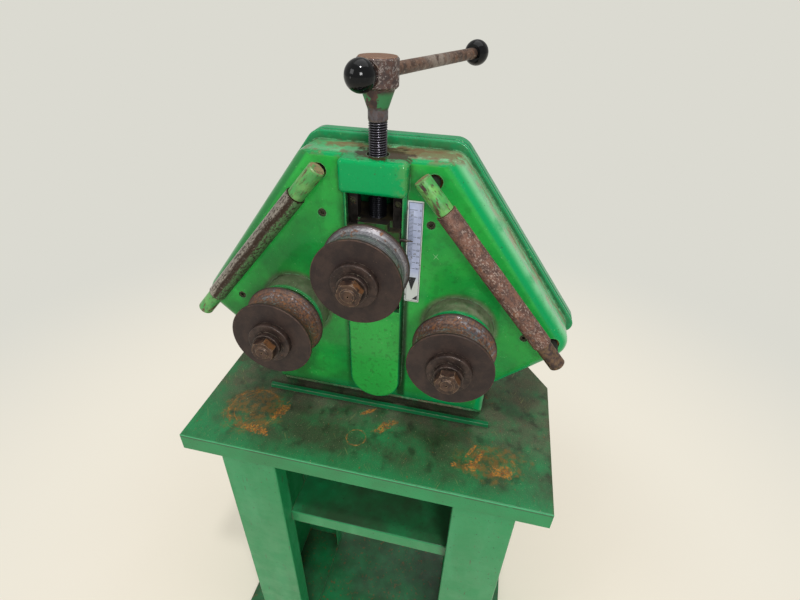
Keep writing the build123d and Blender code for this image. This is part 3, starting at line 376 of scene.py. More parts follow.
def tray_enamel():
    """The same enamel on the tray, under oil and swarf, with rust rings and patches on its top."""
    finish = Finish("tray_enamel")
    x, y, z = finish.x, finish.y, finish.z
    top = z.step(0.6985, 0.6995)
    finish.colour = finish.mix(finish.noise(0.1, 1.0).step(0.35, 0.65), enamel_green, enamel_dull)

    # Oil and dust darken the middle and the back of the top, and leave the front and left edges green.
    middle = y.step(-0.204, -0.16) * x.step(-0.3, -0.235)
    film = finish.noise(0.055, 2.0, 8.0).step(0.3, 0.62)
    dirt = top * (film * middle).scaled(0.16, 0.92)
    finish.lay(paint(54, 64, 44), dirt)
    streaks = finish.noise(0.012, 47.0, 8.0, (1.0, 2.5, 1.0)).step(0.5, 0.64)
    finish.lay(paint(40, 52, 34), streaks * top * 0.22)
    dust = finish.noise(0.05, 3.0, 8.0).step(0.36, 0.58) * y.step(-0.135, -0.06)
    finish.lay(paint(82, 77, 62), dust * top * 0.75)
    grain = finish.noise(0.002, 10.0, 6.0).step(0.5, 0.62) * dust.scaled(0.35, 1.0)
    finish.lay(paint(112, 108, 86), grain * top * 0.5)
    black = finish.noise(0.026, 11.0, 8.0).step(0.5, 0.68) * (top * middle)
    finish.lay(grime_black, black * 0.6)
    crumbs = finish.flecks(0.0028, 0.09, 46.0) * (top * dust.scaled(0.4, 1.0))
    finish.lay(paint(24, 22, 18), crumbs * 0.8)
    for turn, seed in ((-35.0, 12.0), (20.0, 43.0)):
        scratch = finish.noise(0.0022, seed, 2.0, (1.0, 14.0, 1.0), finish.place.turned("Z", turn))
        few = finish.noise(0.05, seed + 1).step(0.48, 0.6)
        scratched = scratch.step(0.65, 0.69) * few * top
        finish.lay(paint(122, 132, 80), scratched * 0.45)
    # Painted shade darkens the tray's top in its corners and under what stands over it.
    seam_shade = finish.corners(0.022) * top
    finish.lay(paint(34, 32, 24), seam_shade * 0.85)

    # Round stock left thin rings: a broad one at the left, a small one in the middle, one at the right.
    rust = None
    for ring_x, ring_y, radius, width, strength in (
            (-0.204, -0.119, 0.044, 0.0040, 0.62), (-0.199, -0.117, 0.039, 0.0013, 0.60),
            (-0.208, -0.122, 0.047, 0.0010, 0.50), (-0.013, -0.136, 0.0160, 0.0018, 0.66),
            (0.205, -0.126, 0.024, 0.0012, 0.35), (0.226, -0.134, 0.020, 0.0014, 0.45)):
        off_centre = finish.vector("SUBTRACT", finish.place, (ring_x, ring_y, tray_top))
        off_line = abs(off_centre.length() - radius)
        wander = (finish.noise(0.009, 13.0, 7.0) - 0.46) * (width * 4.0)
        ring = (off_line + wander).step(width, width * 0.3) * strength
        rust = rust | ring if rust else ring

    # Patches where offcuts lay, as (x, y, half length, half width, turn).
    rust_patches = (
        (-0.157, -0.112, 0.019, 0.0095, 72), (-0.181, -0.160, 0.022, 0.0085, -10),
        (-0.010, -0.078, 0.014, 0.0040, 38), (0.028, -0.102, 0.021, 0.0075, 46),
        (0.151, -0.149, 0.005, 0.0045, 0), (0.176, -0.116, 0.013, 0.0030, 60),
        (0.190, -0.126, 0.018, 0.0040, 65), (0.180, -0.146, 0.013, 0.0080, 20),
        (0.226, -0.146, 0.019, 0.0100, 10))
    for number, (patch_x, patch_y, length, width, turn) in enumerate(rust_patches):
        place = (patch_x, patch_y, tray_top)
        rust = rust | finish.spot(place, (length, width, 0.004), turn, 0.55, 0.006, 20.0 + number)
    eaten = rust * top * finish.noise(0.0024, 14.0, 8.0).step(0.38, 0.56)
    ring_stain = finish.spot((-0.204, -0.12, tray_top), (0.054, 0.05, 0.01), 0.0, 0.3, 0.02, 44.0)
    far_stain = finish.spot((0.208, -0.132, tray_top), (0.056, 0.034, 0.01), 10.0, 0.5, 0.02, 45.0)
    stain = (ring_stain | far_stain) * finish.noise(0.01, 42.0, 8.0).step(0.4, 0.6)
    finish.lay(paint(116, 86, 42), stain * top * 0.72)
    rust_tone = finish.mix(finish.noise(0.006, 15.0, 7.0).step(0.42, 0.6), rust_orange, rust_brown)
    finish.lay(rust_tone, eaten * 0.9)
    pin_rust = finish.flecks(0.0045, 0.03, 16.0) * top
    finish.lay(rust_brown, pin_rust * 0.8)
    edge_rust = x.step(0.298, 0.308) * finish.noise(0.006, 48.0, 8.0).step(0.46, 0.54)
    finish.lay(paint(92, 56, 38), edge_rust * top * 0.8)

    # A painted highlight runs along the folds' rounded corner, where they catch the light. A dark line of
    # grime stays just under it.
    fold_glint = z.step(0.6972, 0.6985) * finish.noise(0.03, 17.0).step(0.3, 0.42) * (1 - top)
    finish.lay(paint(84, 186, 132), fold_glint * 0.75)
    under_fold = z.within(0.6945, 0.6962, 0.0006) * finish.noise(0.022, 18.0, 7.0).step(0.34, 0.42)
    finish.lay(paint(48, 44, 34), under_fold * 0.85)
    side = abs(x - 0.003).step(0.302, 0.3075) * finish.noise(0.008, 19.0, 8.0).step(0.5, 0.58)
    side = side * z.step(0.655, 0.69)
    finish.lay(paint(92, 74, 48), side * (1 - top) * 0.7)
    specks = finish.flecks(0.0035, 0.1, 40.0)
    finish.lay(paint(30, 66, 42), specks * (1 - top) * 0.65)
    pale_dots = finish.flecks(0.0022, 0.02, 49.0) * top
    finish.lay(paint(168, 160, 124), pale_dots * 0.7)
    gloss = (eaten | dust * top).scaled(0.36, 0.8)
    height = finish.noise(0.003, 41.0, 5.0) * 0.5 - eaten * 0.5
    height = height + grain * 0.3
    return finish.done(gloss, height, 0.00035, reflection=0.35)


dress(sheet_enamel("sheet_enamel", enamel_green, 0.4),
      "left_pedestal", "right_pedestal", "shelf", "base_plate")
dress(tray_enamel(), "table_tray")
dress(sheet_enamel("ridge_enamel", paint(4, 106, 60), 0.1), "ridge_bar")


# ---------------------------------------------------------------------------------------------
# The plinth and the two housing castings, bolted together at a flanged rim. They are grey iron in
# thick brushed enamel, chipped on the nose and the rims, greasy round the rolls and on the top.

casting_green = paint(24, 146, 62)
casting_leaf = paint(44, 166, 66)
casting_fresh = paint(0, 144, 78)
nose_green = paint(0, 146, 78)
tongue_green = paint(46, 166, 68)
casting_dark = paint(36, 106, 48)
casting_chalk = paint(120, 188, 138)
rim_green = paint(6, 130, 78)
shaded_green = paint(38, 118, 58)
iron_brown = paint(84, 66, 50)
lower_shaft_x = 0.128
lower_shaft_z = 0.8984
housing_top = 1.143
scratch_centre = (0.086, -0.0574, 1.013)
scratch_size = (0.0003, 0.002, 0.0062)


def casting_enamel(name, base):
    """Thick enamel on cast iron: fresh on the nose and roundings, oily low down, chafed on the rims."""
    finish = Finish(name)
    x, y, z = finish.x, finish.y, finish.z
    facing_front = finish.normal.axis("Y").step(-0.9, -0.985)
    face = finish.mix(finish.noise(0.12, 1.0).step(0.38, 0.62), base, casting_leaf)
    nose = z.step(1.086, 1.098) * y.step(-0.06, -0.068)
    nose_front = nose * y.step(-0.0745, -0.0765)
    foot = z.step(0.752, 0.738)
    roundings = finish.mix(x.step(-0.06, -0.11), casting_fresh, shaded_green)
    finish.colour = finish.mix(facing_front * (1 - (nose | foot)), roundings, face)
    finish.lay(nose_green, nose_front)

    # The left and the lower part of the face are browner, under a film of oil. The tongue stays clean.
    left_low = x.step(0.02, -0.2) + z.step(0.93, 0.74)
    film = finish.noise(0.06, 2.0, 8.0).step(0.32, 0.6) * (left_low * 0.6)
    tongue = y.step(-0.06, -0.064) * z.step(0.905, 0.89)
    film = film * (1 - tongue * 0.75)
    scuffed = tongue * finish.noise(0.006, 28.0, 9.0).step(0.56, 0.6)
    finish.lay(tongue_green, tongue * facing_front)
    finish.lay(casting_dark, film * facing_front)
    mottle = finish.noise(0.014, 21.0, 8.0).step(0.5, 0.64) * (1 - (nose | tongue))
    finish.lay(casting_dark, mottle * facing_front * 0.3)
    finish.lay(paint(40, 92, 40), scuffed * facing_front * 0.4)

    # Painted shade darkens both sides of the tongue and the hollow beside it, most at the right, in streaks
    # that run down.
    sideways = abs(finish.normal.axis("X"))
    flank = abs(x).within(0.037, 0.05, 0.003) * z.step(1.09, 1.07)
    flank = flank * y.step(-0.0685, -0.064) * y.step(-0.055, -0.0575)
    tongue_side_shade = flank * (sideways.step(0.15, 0.55) | y.step(-0.0595, -0.0575))
    tongue_side_shade = tongue_side_shade * x.step(-0.01, 0.01).scaled(0.45, 1.0)
    tongue_side_shade = tongue_side_shade * finish.noise(0.02, 22.0, 6.0, (1.0, 1.0, 3.0)).step(0.2, 0.42)
    finish.lay(paint(20, 50, 26), tongue_side_shade * 0.92)

    # The bosses round the lower rolls are rubbed and oily down to the undercoat.
    from_shaft = finish.vector("SUBTRACT", finish.vector("ABSOLUTE", finish.place),
                               (lower_shaft_x, 0.0, lower_shaft_z))
    boss_radius = finish.vector("MULTIPLY", from_shaft, (1.0, 0.0, 1.0)).length()
    boss = boss_radius.step(0.062, 0.054) * y.within(-0.09, -0.056, 0.003)
    rubbed_off = finish.noise(0.012, 13.0, 7.0).step(0.24, 0.48).scaled(0.72, 1.0)
    boss_tone = finish.mix(finish.noise(0.016, 23.0, 6.0).step(0.36, 0.64), paint(88, 92, 70),
                           paint(124, 124, 102))
    # Painted shade: the bosses on the left are darkened half-way to dark olive, on the side away from the
    # lamps.
    boss_tone = finish.mix(x.step(0.0, -0.1) * 0.5, boss_tone, paint(60, 70, 50))
    finish.lay(boss_tone, boss * rubbed_off * 0.94)

    # The bands behind the front edge: chalky and greasy, with brown chafing and dirt along the rim.
    band = y.within(-0.049, 0.0005, 0.005)
    chalk = band * finish.noise(0.04, 3.0, 8.0).step(0.24, 0.52)
    # The chalk fades to the left, where the band is kept darker: painted shade on the side away from the
    # lamps.
    chalk = chalk * x.step(-0.1, 0.0).scaled(0.35, 0.9)
    finish.lay(casting_chalk, chalk)
    chafing = y.within(-0.036, -0.006, 0.006) * finish.noise(0.03, 24.0, 8.0).step(0.46, 0.58)
    chafing = chafing * x.step(-0.05, 0.05).scaled(0.3, 0.75)
    finish.lay(paint(154, 134, 112), chafing * z.step(1.14, 1.125))
    rim_dirt = (y.within(-0.02, 0.0005, 0.006)
                * finish.noise(0.012, 14.0, 8.0, (4.0, 1.0, 4.0)).step(0.46, 0.58))
    finish.lay(paint(128, 106, 82), rim_dirt * 0.75)
    flange = y.step(-0.0002, 0.0008)
    finish.lay(rim_green, flange * 0.9)
    parting = y.within(0.008, 0.012, 0.0006)
    finish.lay(paint(12, 52, 32), parting * 0.85)
    on_top = z.step(1.135, 1.1425) * y.step(0.002, -0.002)
    behind_nose = y.step(-0.064, -0.052)
    top_dirt = on_top * behind_nose * finish.noise(0.014, 4.0, 8.0).step(0.46, 0.58)
    finish.lay(paint(112, 92, 66), top_dirt * 0.75)
    oiled = 0.0
    for centre, radii, depth, tone, seed in (
            ((0.052, -0.026, housing_top), (0.062, 0.020, 0.012), 0.80, paint(112, 82, 58), 5.0),
            ((-0.048, -0.014, housing_top), (0.040, 0.010, 0.012), 0.65, paint(118, 90, 62), 25.0),
            ((0.006, -0.042, housing_top), (0.042, 0.028, 0.012), 0.94, paint(58, 36, 22), 5.5)):
        oil = finish.spot(centre, radii, 0.0, 0.45, 0.012, seed)
        oiled = oiled | oil
        finish.lay(tone, oil * depth)

    # Painted shade in corners, chips on edges down to brown iron, and pale rubbed paint beside the chips.
    corners = finish.corners(0.02) * finish.noise(0.01, 6.0, 7.0).step(0.26, 0.54)
    corners = corners * (1 - boss * 0.7)
    finish.lay(paint(44, 50, 30), corners * 0.8)
    for turn in (-32.0, 48.0):
        place = finish.vector("SUBTRACT", finish.place, scratch_centre).turned("Y", turn)
        away = finish.vector("DIVIDE", place, scratch_size).length()
        finish.lay(paint(160, 214, 160), away.step(1.1, 0.7) * 0.8)
    nose_scuffs = nose * x.step(0.024, 0.042) * finish.noise(0.008, 26.0, 8.0).step(0.42, 0.54)
    finish.lay(paint(84, 140, 76), nose_scuffs * 0.6)
    rubbed = finish.edges(0.0028) * finish.noise(0.014, 7.0, 6.0).step(0.38, 0.52)
    rubbed = rubbed * z.step(0.745, 0.76)
    finish.lay(paint(122, 184, 136), rubbed * flange.scaled(0.35, 0.7))
    chipped = finish.edges(0.0016) * finish.noise(0.007, 8.0, 8.0).step(0.56, 0.59)
    finish.lay(iron_brown, chipped)
    drips = finish.noise(0.007, 16.0, 5.0, (1.0, 1.0, 10.0)).step(0.6, 0.66) * y.step(0.011, 0.013)
    finish.lay(paint(40, 70, 40), drips * 0.45)
    specks = finish.flecks(0.003, 0.035, 9.0)
    finish.lay(paint(40, 58, 32), specks * 0.7)
    smudges = finish.flecks(0.008, 0.025, 27.0)
    finish.lay(paint(60, 74, 42), smudges * 0.45)
    pale_specks = finish.flecks(0.0032, 0.022, 15.0)
    finish.lay(paint(120, 190, 120), pale_specks * 0.6)
    gloss = finish.noise(0.05, 10.0).step(0.3, 0.7).scaled(0.16, 0.36)
    gloss = gloss | (top_dirt | boss | corners) * 0.55
    gloss = gloss | oiled * 0.62
    rough_cast = finish.noise(0.01, 11.0, 4.0) * 0.7 + finish.noise(0.0022, 12.0, 3.0) * 0.3
    height = rough_cast - chipped * 0.5
    return finish.done(gloss, height, 0.0006, reflection=0.13, coat=0.28)


dress(casting_enamel("casting_enamel", casting_green),
      "front_casting", "rear_casting", "bearing_covers")
dress(casting_enamel("plinth_enamel", paint(2, 104, 56)), "plinth")


# ---------------------------------------------------------------------------------------------
# The slot: two steel rails screwed into it, and the slide that carries the upper roll. The rails
# and the slide are black with oil, and the slide's front still has its green paint.

oil_black = paint(30, 27, 24)
steel_dark = paint(70, 66, 62)


def oiled_steel(name, base, worn, rust_share):
    """Machined steel under old oil, rubbed clean on its edges, with rust coming through."""
    finish = Finish(name)
    clouds = finish.noise(0.018, 1.0, 5.0).step(0.34, 0.66)
    finish.colour = finish.mix(clouds, base, finish.mix(0.45, base, worn))
    bright = finish.edges(0.0011) * finish.noise(0.006, 2.0).step(0.38, 0.55)
    finish.lay(worn, bright)
    rusted = finish.flecks(0.009, rust_share, 3.0) * 0.85
    finish.lay(rust_brown, rusted)
    gloss = (rusted | clouds * 0.6).scaled(0.34, 0.7)
    height = finish.noise(0.0012, 4.0, 3.0) * 0.4 + rusted
    return finish.done(gloss, height, 0.00012, rusted.scaled(0.75, 0.1))


def slide_paint():
    """The slide: green paint on its front face, black oil everywhere else."""
    finish = Finish("slide_paint")
    facing_front = finish.normal.axis("Y").step(-0.8, -0.97)
    painted = facing_front * finish.noise(0.012, 1.0, 5.0).step(0.36, 0.5)
    finish.colour = finish.mix(painted * 0.85, oil_black, paint(46, 104, 50))
    smear = finish.noise(0.02, 2.0, 5.0).step(0.45, 0.62)
    finish.lay(paint(60, 54, 34), smear * 0.6)
    bright = finish.edges(0.0012) * finish.noise(0.008, 3.0).step(0.42, 0.56)
    finish.lay(steel_dark, bright)
    return finish.done(0.42, finish.noise(0.003, 4.0), 0.0002)


dress(slide_paint(), "top_slide")
dress(oiled_steel("rail_steel", oil_black, steel_dark, 0.10), "guide_rails")
dress(oiled_steel("pointer_steel", paint(52, 46, 42), paint(120, 112, 104), 0.08),
      "slide_pointer", "screw_keeper")
dress(oiled_steel("spacer_steel", paint(44, 40, 36), paint(96, 88, 80), 0.15),
      "upper_spacer", "left_spacer", "right_spacer", "left_guide_collars", "right_guide_collars")


def ring_painted_screws():
    """Small black screws whose rims still carry a ring of the housing's green."""
    finish = Finish("painted_screw_steel")
    finish.colour = finish.mix(finish.noise(0.002, 1.0).step(0.4, 0.6), paint(34, 30, 26),
                               paint(64, 56, 46))
    rim = finish.edges(0.0009) * finish.noise(0.003, 2.0).step(0.36, 0.5)
    finish.lay(paint(112, 128, 78), rim * 0.85)
    return finish.done(0.5, finish.noise(0.0012, 3.0), 0.0001, 0.4)


dress(ring_painted_screws(), "rail_screws", "face_screws", "plinth_screws")
dress(oiled_steel("bolt_black", paint(46, 42, 38), paint(128, 120, 110), 0.22),
      "stand_bolts", "housing_screws")


# ---------------------------------------------------------------------------------------------
# The scale beside the slot: a printed white plate with a long line at each plain number and short
# ones between, in a thin border. A black triangle and a corner mark stand at its foot.

plate_low, plate_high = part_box("scale_plate")
ink_lift = 0.06 * mm
scale_top = 1078.5 * mm
scale_step = 9.8 * mm
scale_numbers = 10
lines_per_step = 5
major_length = 11.0 * mm
minor_length = 6.0 * mm
line_width = 0.6 * mm
border_inset = 1.7 * mm
number_size = 4.4 * mm
number_drop = 1.4 * mm
number_right = plate_high.x - 2.6 * mm
ink_front = plate_low.y - ink_lift


def plate_print(name, shapes):
    """Puts flat inked shapes on the plate as one piece. Each shape is a list of (x, z) corners."""
    mesh = bpy.data.meshes.new(name)
    corners = []
    faces = []
    for shape in shapes:
        start = len(corners)
        corners += [(x, ink_front, z) for x, z in shape]
        faces.append(tuple(range(start, start + len(shape))))
    mesh.from_pydata(corners, [], faces)
    mesh.materials.append(ink)
    printed = bpy.data.objects.new(name, mesh)
    bpy.context.scene.collection.objects.link(printed)
    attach(printed, "frame")


def ink_finish():
    finish = Finish("printing_ink")
    finish.colour = finish.mix(finish.flecks(0.0016, 0.15, 1.0), paint(22, 24, 28), paint(120, 124, 128))
    return finish.done(0.5)


def plate_finish():
    """White printed enamel with a bare metal border, yellowed and spotted with oil."""
    finish = Finish("scale_plate_white")
    white = finish.mix(finish.noise(0.02, 1.0).step(0.35, 0.65), paint(190, 198, 224), paint(168, 178, 206))
    creamy = finish.z.step(0.99, 0.96)
    white = finish.mix(creamy * 0.8, white, paint(204, 210, 196))
    from_left = finish.x - plate_low.x
    from_right = plate_high.x - finish.x
    from_foot = finish.z - plate_low.z
    from_head = plate_high.z - finish.z
    nearest = finish.math("MINIMUM", finish.math("MINIMUM", from_left, from_right),
                          finish.math("MINIMUM", from_foot, from_head))
    border = nearest.step(0.0016, 0.0012)
    finish.colour = finish.mix(border, white, paint(206, 212, 208))
    spots = finish.flecks(0.007, 0.08, 2.0)
    finish.lay(paint(96, 92, 72), spots * 0.7)
    return finish.done(0.35, finish.noise(0.004, 3.0), 0.0001)


ink = ink_finish()
dress(plate_finish(), "scale_plate")
line_left = plate_low.x + 2.4 * mm
line_shapes = []
for number in range((scale_numbers - 1) * lines_per_step + 1):
    height = scale_top - number * scale_step / lines_per_step
    length = minor_length if number % lines_per_step else major_length
    line_shapes.append([(line_left, height), (line_left + length, height),
                        (line_left + length, height + line_width), (line_left, height + line_width)])
border_left = plate_low.x + border_inset
border_right = plate_high.x - border_inset
border_foot = plate_low.z + border_inset
border_head = plate_high.z - border_inset
for edge_x in (border_left, border_right):
    line_shapes.append([(edge_x, border_foot), (edge_x + line_width, border_foot),
                        (edge_x + line_width, border_head), (edge_x, border_head)])
for edge_z in (border_foot, border_head):
    line_shapes.append([(border_left, edge_z - line_width), (border_right, edge_z - line_width),
                        (border_right, edge_z), (border_left, edge_z)])
plate_print("scale_lines", line_shapes)
mark_left = plate_low.x + 3.2 * mm
mark_width = 12.8 * mm
mark_top = 976.0 * mm
mark_height = 23.0 * mm
plate_print("scale_triangle", [[(mark_left, mark_top), (mark_left + mark_width / 2, mark_top - mark_height),
                                (mark_left + mark_width, mark_top)]])
corner_mark = 8.0 * mm
corner_foot = plate_low.z + 4.0 * mm
plate_print("scale_corner_mark", [[(number_right - corner_mark, corner_foot), (number_right, corner_foot),
                                   (number_right, corner_foot + corner_mark)]])
for number in range(scale_numbers):
    text = bpy.data.curves.new(f"scale_number_{number}", "FONT")
    text.body = str(number * 10)
    text.size = number_size
    text.align_x = "RIGHT"
    written = bpy.data.objects.new(f"scale_number_{number}_text", text)
    written.rotation_euler = (math.radians(90), 0.0, 0.0)
    written.location = (number_right, ink_front, scale_top - number * scale_step - number_drop)
    bpy.context.scene.collection.objects.link(written)
    bpy.context.view_layer.update()
    mesh = bpy.data.meshes.new_from_object(written)
    mesh.transform(written.matrix_world)
    mesh.materials.clear()
    mesh.materials.append(ink)
    figure = bpy.data.objects.new(f"scale_number_{number}", mesh)
    bpy.context.scene.collection.objects.link(figure)
    bpy.data.objects.remove(written)
    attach(figure, "frame")


# ---------------------------------------------------------------------------------------------
# The pressure screw, which pushes the slide down: a coarse right-hand thread turned from one bar
# with its neck, cone and head. The head is pitted, and green paint is left on the cone.

screw_axis_y = -44.5 * mm
thread_foot = 1059.7 * mm
thread_head = 1185.0 * mm
thread_radius = 12.0 * mm
thread_pitch = 3.0 * mm
thread_depth = 1.6 * mm
thread_sides = 56
thread_rows_per_turn = 10


def threaded_length(mesh):
    """The screw's own mesh with its plain thread face taken out and a helical one put in its place."""
    shape = bmesh.new()
    shape.from_mesh(mesh)
    plain = []
    for face in shape.faces:
        middle = face.calc_center_median()
        off_radius = math.hypot(middle.x, middle.y - screw_axis_y) - thread_radius
        upright = abs(face.normal.z) < 0.1
        if abs(off_radius) < 0.4 * mm and thread_foot < middle.z < thread_head and upright:
            plain.append(face)
    bmesh.ops.delete(shape, geom=plain, context="FACES")
    rows = round((thread_head - thread_foot) / thread_pitch * thread_rows_per_turn)
    rings = []
    for row in range(rows + 1):
        height = thread_foot + (thread_head - thread_foot) * row / rows
        to_end = min(height - thread_foot, thread_head - height)
        ring = []
        for side in range(thread_sides):
            angle = 2 * math.pi * side / thread_sides
            phase = (height / thread_pitch - angle / (2 * math.pi)) % 1.0
            flank = min(1.0, max(0.0, abs(2 * phase - 1) * 1.5 - 0.25))
            cut = thread_depth * (1 - flank) * min(1.0, to_end / thread_pitch)
            ring.append(shape.verts.new(((thread_radius - cut) * math.cos(angle),
                                         screw_axis_y + (thread_radius - cut) * math.sin(angle), height)))
        rings.append(ring)
    for lower, upper in zip(rings, rings[1:]):
        for side in range(thread_sides):
            after = (side + 1) % thread_sides
            shape.faces.new((lower[side], lower[after], upper[after], upper[side])).smooth = True
    made = bpy.data.meshes.new("pressure_screw_threaded")
    shape.to_mesh(made)
    shape.free()
    return made


def screw_finish():
    """Gunmetal thread, lighter on its crests as a painted highlight and black in its roots as painted
    shade; a scaly rust-brown head; green paint left on the cone.
    """
    finish = Finish("screw_gunmetal")
    z = finish.z
    off_axis = finish.vector("SUBTRACT", finish.place, (0.0, screw_axis_y, 0.0))
    radius = finish.vector("MULTIPLY", off_axis, (1.0, 1.0, 0.0)).length()
    # Painted light: the crests are light grey as a highlight, the roots near black as shade.
    crest_highlight = radius.step(thread_radius - thread_depth * 0.7, thread_radius - thread_depth * 0.1)
    finish.colour = finish.mix(crest_highlight, paint(16, 16, 18), paint(96, 94, 102))
    # Painted shade: lower down, where it runs under the nose into the slot, the thread is darkened to
    # blue-black.
    low = z.step(1.125, 1.105)
    finish.lay(paint(20, 22, 28), low * 0.85)
    neck = z.within(1.184, 1.2, 0.0015)
    head = z.step(1.1975, 1.201)
    skin = finish.mix(finish.noise(0.008, 2.0, 8.0).step(0.38, 0.62), paint(84, 60, 52), paint(54, 41, 40))
    brown_neck = neck * finish.noise(0.006, 8.0, 7.0).step(0.44, 0.56).scaled(0.15, 0.85)
    finish.lay(paint(104, 100, 104), neck)
    finish.lay(skin, brown_neck)
    finish.lay(skin, head)
    cone = z.step(1.196, 1.202) * z.step(1.221, 1.213)
    to_sides = abs(finish.x + 0.002)
    ragged = (finish.noise(0.008, 3.4, 6.0) - 0.5) * 0.05
    left_paint = cone * (to_sides + ragged).step(0.0075, 0.0085)
    finish.lay(paint(52, 130, 78), left_paint * 0.9)
    block = z.step(1.219, 1.222)
    flakes = block * finish.flecks(0.003, 0.4, 4.0) * z.step(1.2548, 1.2535)
    finish.lay(paint(158, 146, 142), flakes * 0.72)
    top = z.step(1.2535, 1.2548)
    finish.lay(paint(124, 88, 62), top * 0.7)
    rubbed = finish.edges(0.0014) * (head | neck) * finish.noise(0.006, 5.0).step(0.4, 0.55)
    finish.lay(paint(150, 134, 116), rubbed * 0.7)
    rusty = (head | brown_neck) * (1 - flakes)
    gloss = rusty.scaled(0.26, 0.56)
    height = (finish.noise(0.002, 6.0) + flakes) * (head | neck)
    return finish.done(gloss, height, 0.0003, rusty.scaled(0.8, 0.1))


threaded_mesh = threaded_length(nodes["pressure_screw"].data)
pressure_screw = bpy.data.objects.new("pressure_screw_threaded", threaded_mesh)
bpy.context.scene.collection.objects.link(pressure_screw)
pressure_screw.data.materials.append(screw_finish())
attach(pressure_screw, "pressure_screw")
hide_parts("pressure_screw")


# ---------------------------------------------------------------------------------------------
# The tommy bar through the screw's head, a plain bar gone brown with rust, and its two turned
# ball knobs of glossy black phenolic, dusty and a little scratched.

def tommy_bar_rust():
    """Bare bar left to rust: brown skin with pale flecks, and a grey stretch where hands turn it."""
    finish = Finish("tommy_bar_rust")
    skin = finish.noise(0.01, 1.0, 8.0).step(0.4, 0.6)
    finish.colour = finish.mix(skin, paint(62, 46, 38), paint(106, 80, 64))
    orange = finish.noise(0.007, 2.0, 8.0).step(0.56, 0.66)
    finish.lay(paint(126, 84, 56), orange * 0.5)
    gripped = finish.y.within(0.05, 0.105, 0.02)
    finish.lay(paint(132, 120, 110), gripped * finish.noise(0.01, 3.0, 7.0).step(0.36, 0.54))
    flecks = finish.flecks(0.0028, 0.24, 4.0)
    finish.lay(paint(168, 152, 136), flecks * 0.7)
    dark = finish.flecks(0.0034, 0.2, 5.0)
    finish.lay(paint(42, 31, 26), dark * 0.8)
    gloss = finish.noise(0.014, 6.0, 5.0).step(0.35, 0.65).scaled(0.4, 0.62)
    height = finish.noise(0.0022, 7.0, 5.0) + flecks * 0.4
    return finish.done(gloss, height, 0.0003, flecks.scaled(0.3, 0.7))


def knob_finish():
    finish = Finish("black_phenolic")
    dust = finish.noise(0.004, 1.0, 7.0).step(0.56, 0.72)
    finish.colour = finish.mix(dust * 0.3, paint(8, 9, 11), paint(52, 54, 56))
    gloss = finish.noise(0.012, 2.0, 5.0).step(0.4, 0.7).scaled(0.06, 0.2)
    return finish.done(gloss, finish.noise(0.0012, 3.0), 0.00003, reflection=0.28)


dress(tommy_bar_rust(), "tommy_bar")
dress(knob_finish(), "tommy_knobs")


# ---------------------------------------------------------------------------------------------
# The three rolls, turned from steel, each with a deep groove for the bar that is bent. Their faces
# are brown and dull with fine turning rings, the grooves are burnished grey with some fresh rust.

roll_front, roll_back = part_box("upper_roll")
groove_front_y = roll_front.y + 3.5 * mm
groove_back_y = roll_front.y + 43.5 * mm
roll_radius = (roll_back.x - roll_front.x) / 2


def roll_centre(name):
    low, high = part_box(name)
    return (low.x + high.x) / 2, (low.z + high.z) / 2


def round_the_axis(finish, centre):
    """The distance from a roll's axis, and a place that is the same all round it, for turning marks."""
    from_centre = finish.vector("SUBTRACT", finish.place, (centre[0], 0.0, centre[1]))
    radius = finish.vector("MULTIPLY", from_centre, (1.0, 0.0, 1.0)).length()
    return radius, finish.add("CombineXYZ", {"X": radius, "Y": finish.y}, "Vector")


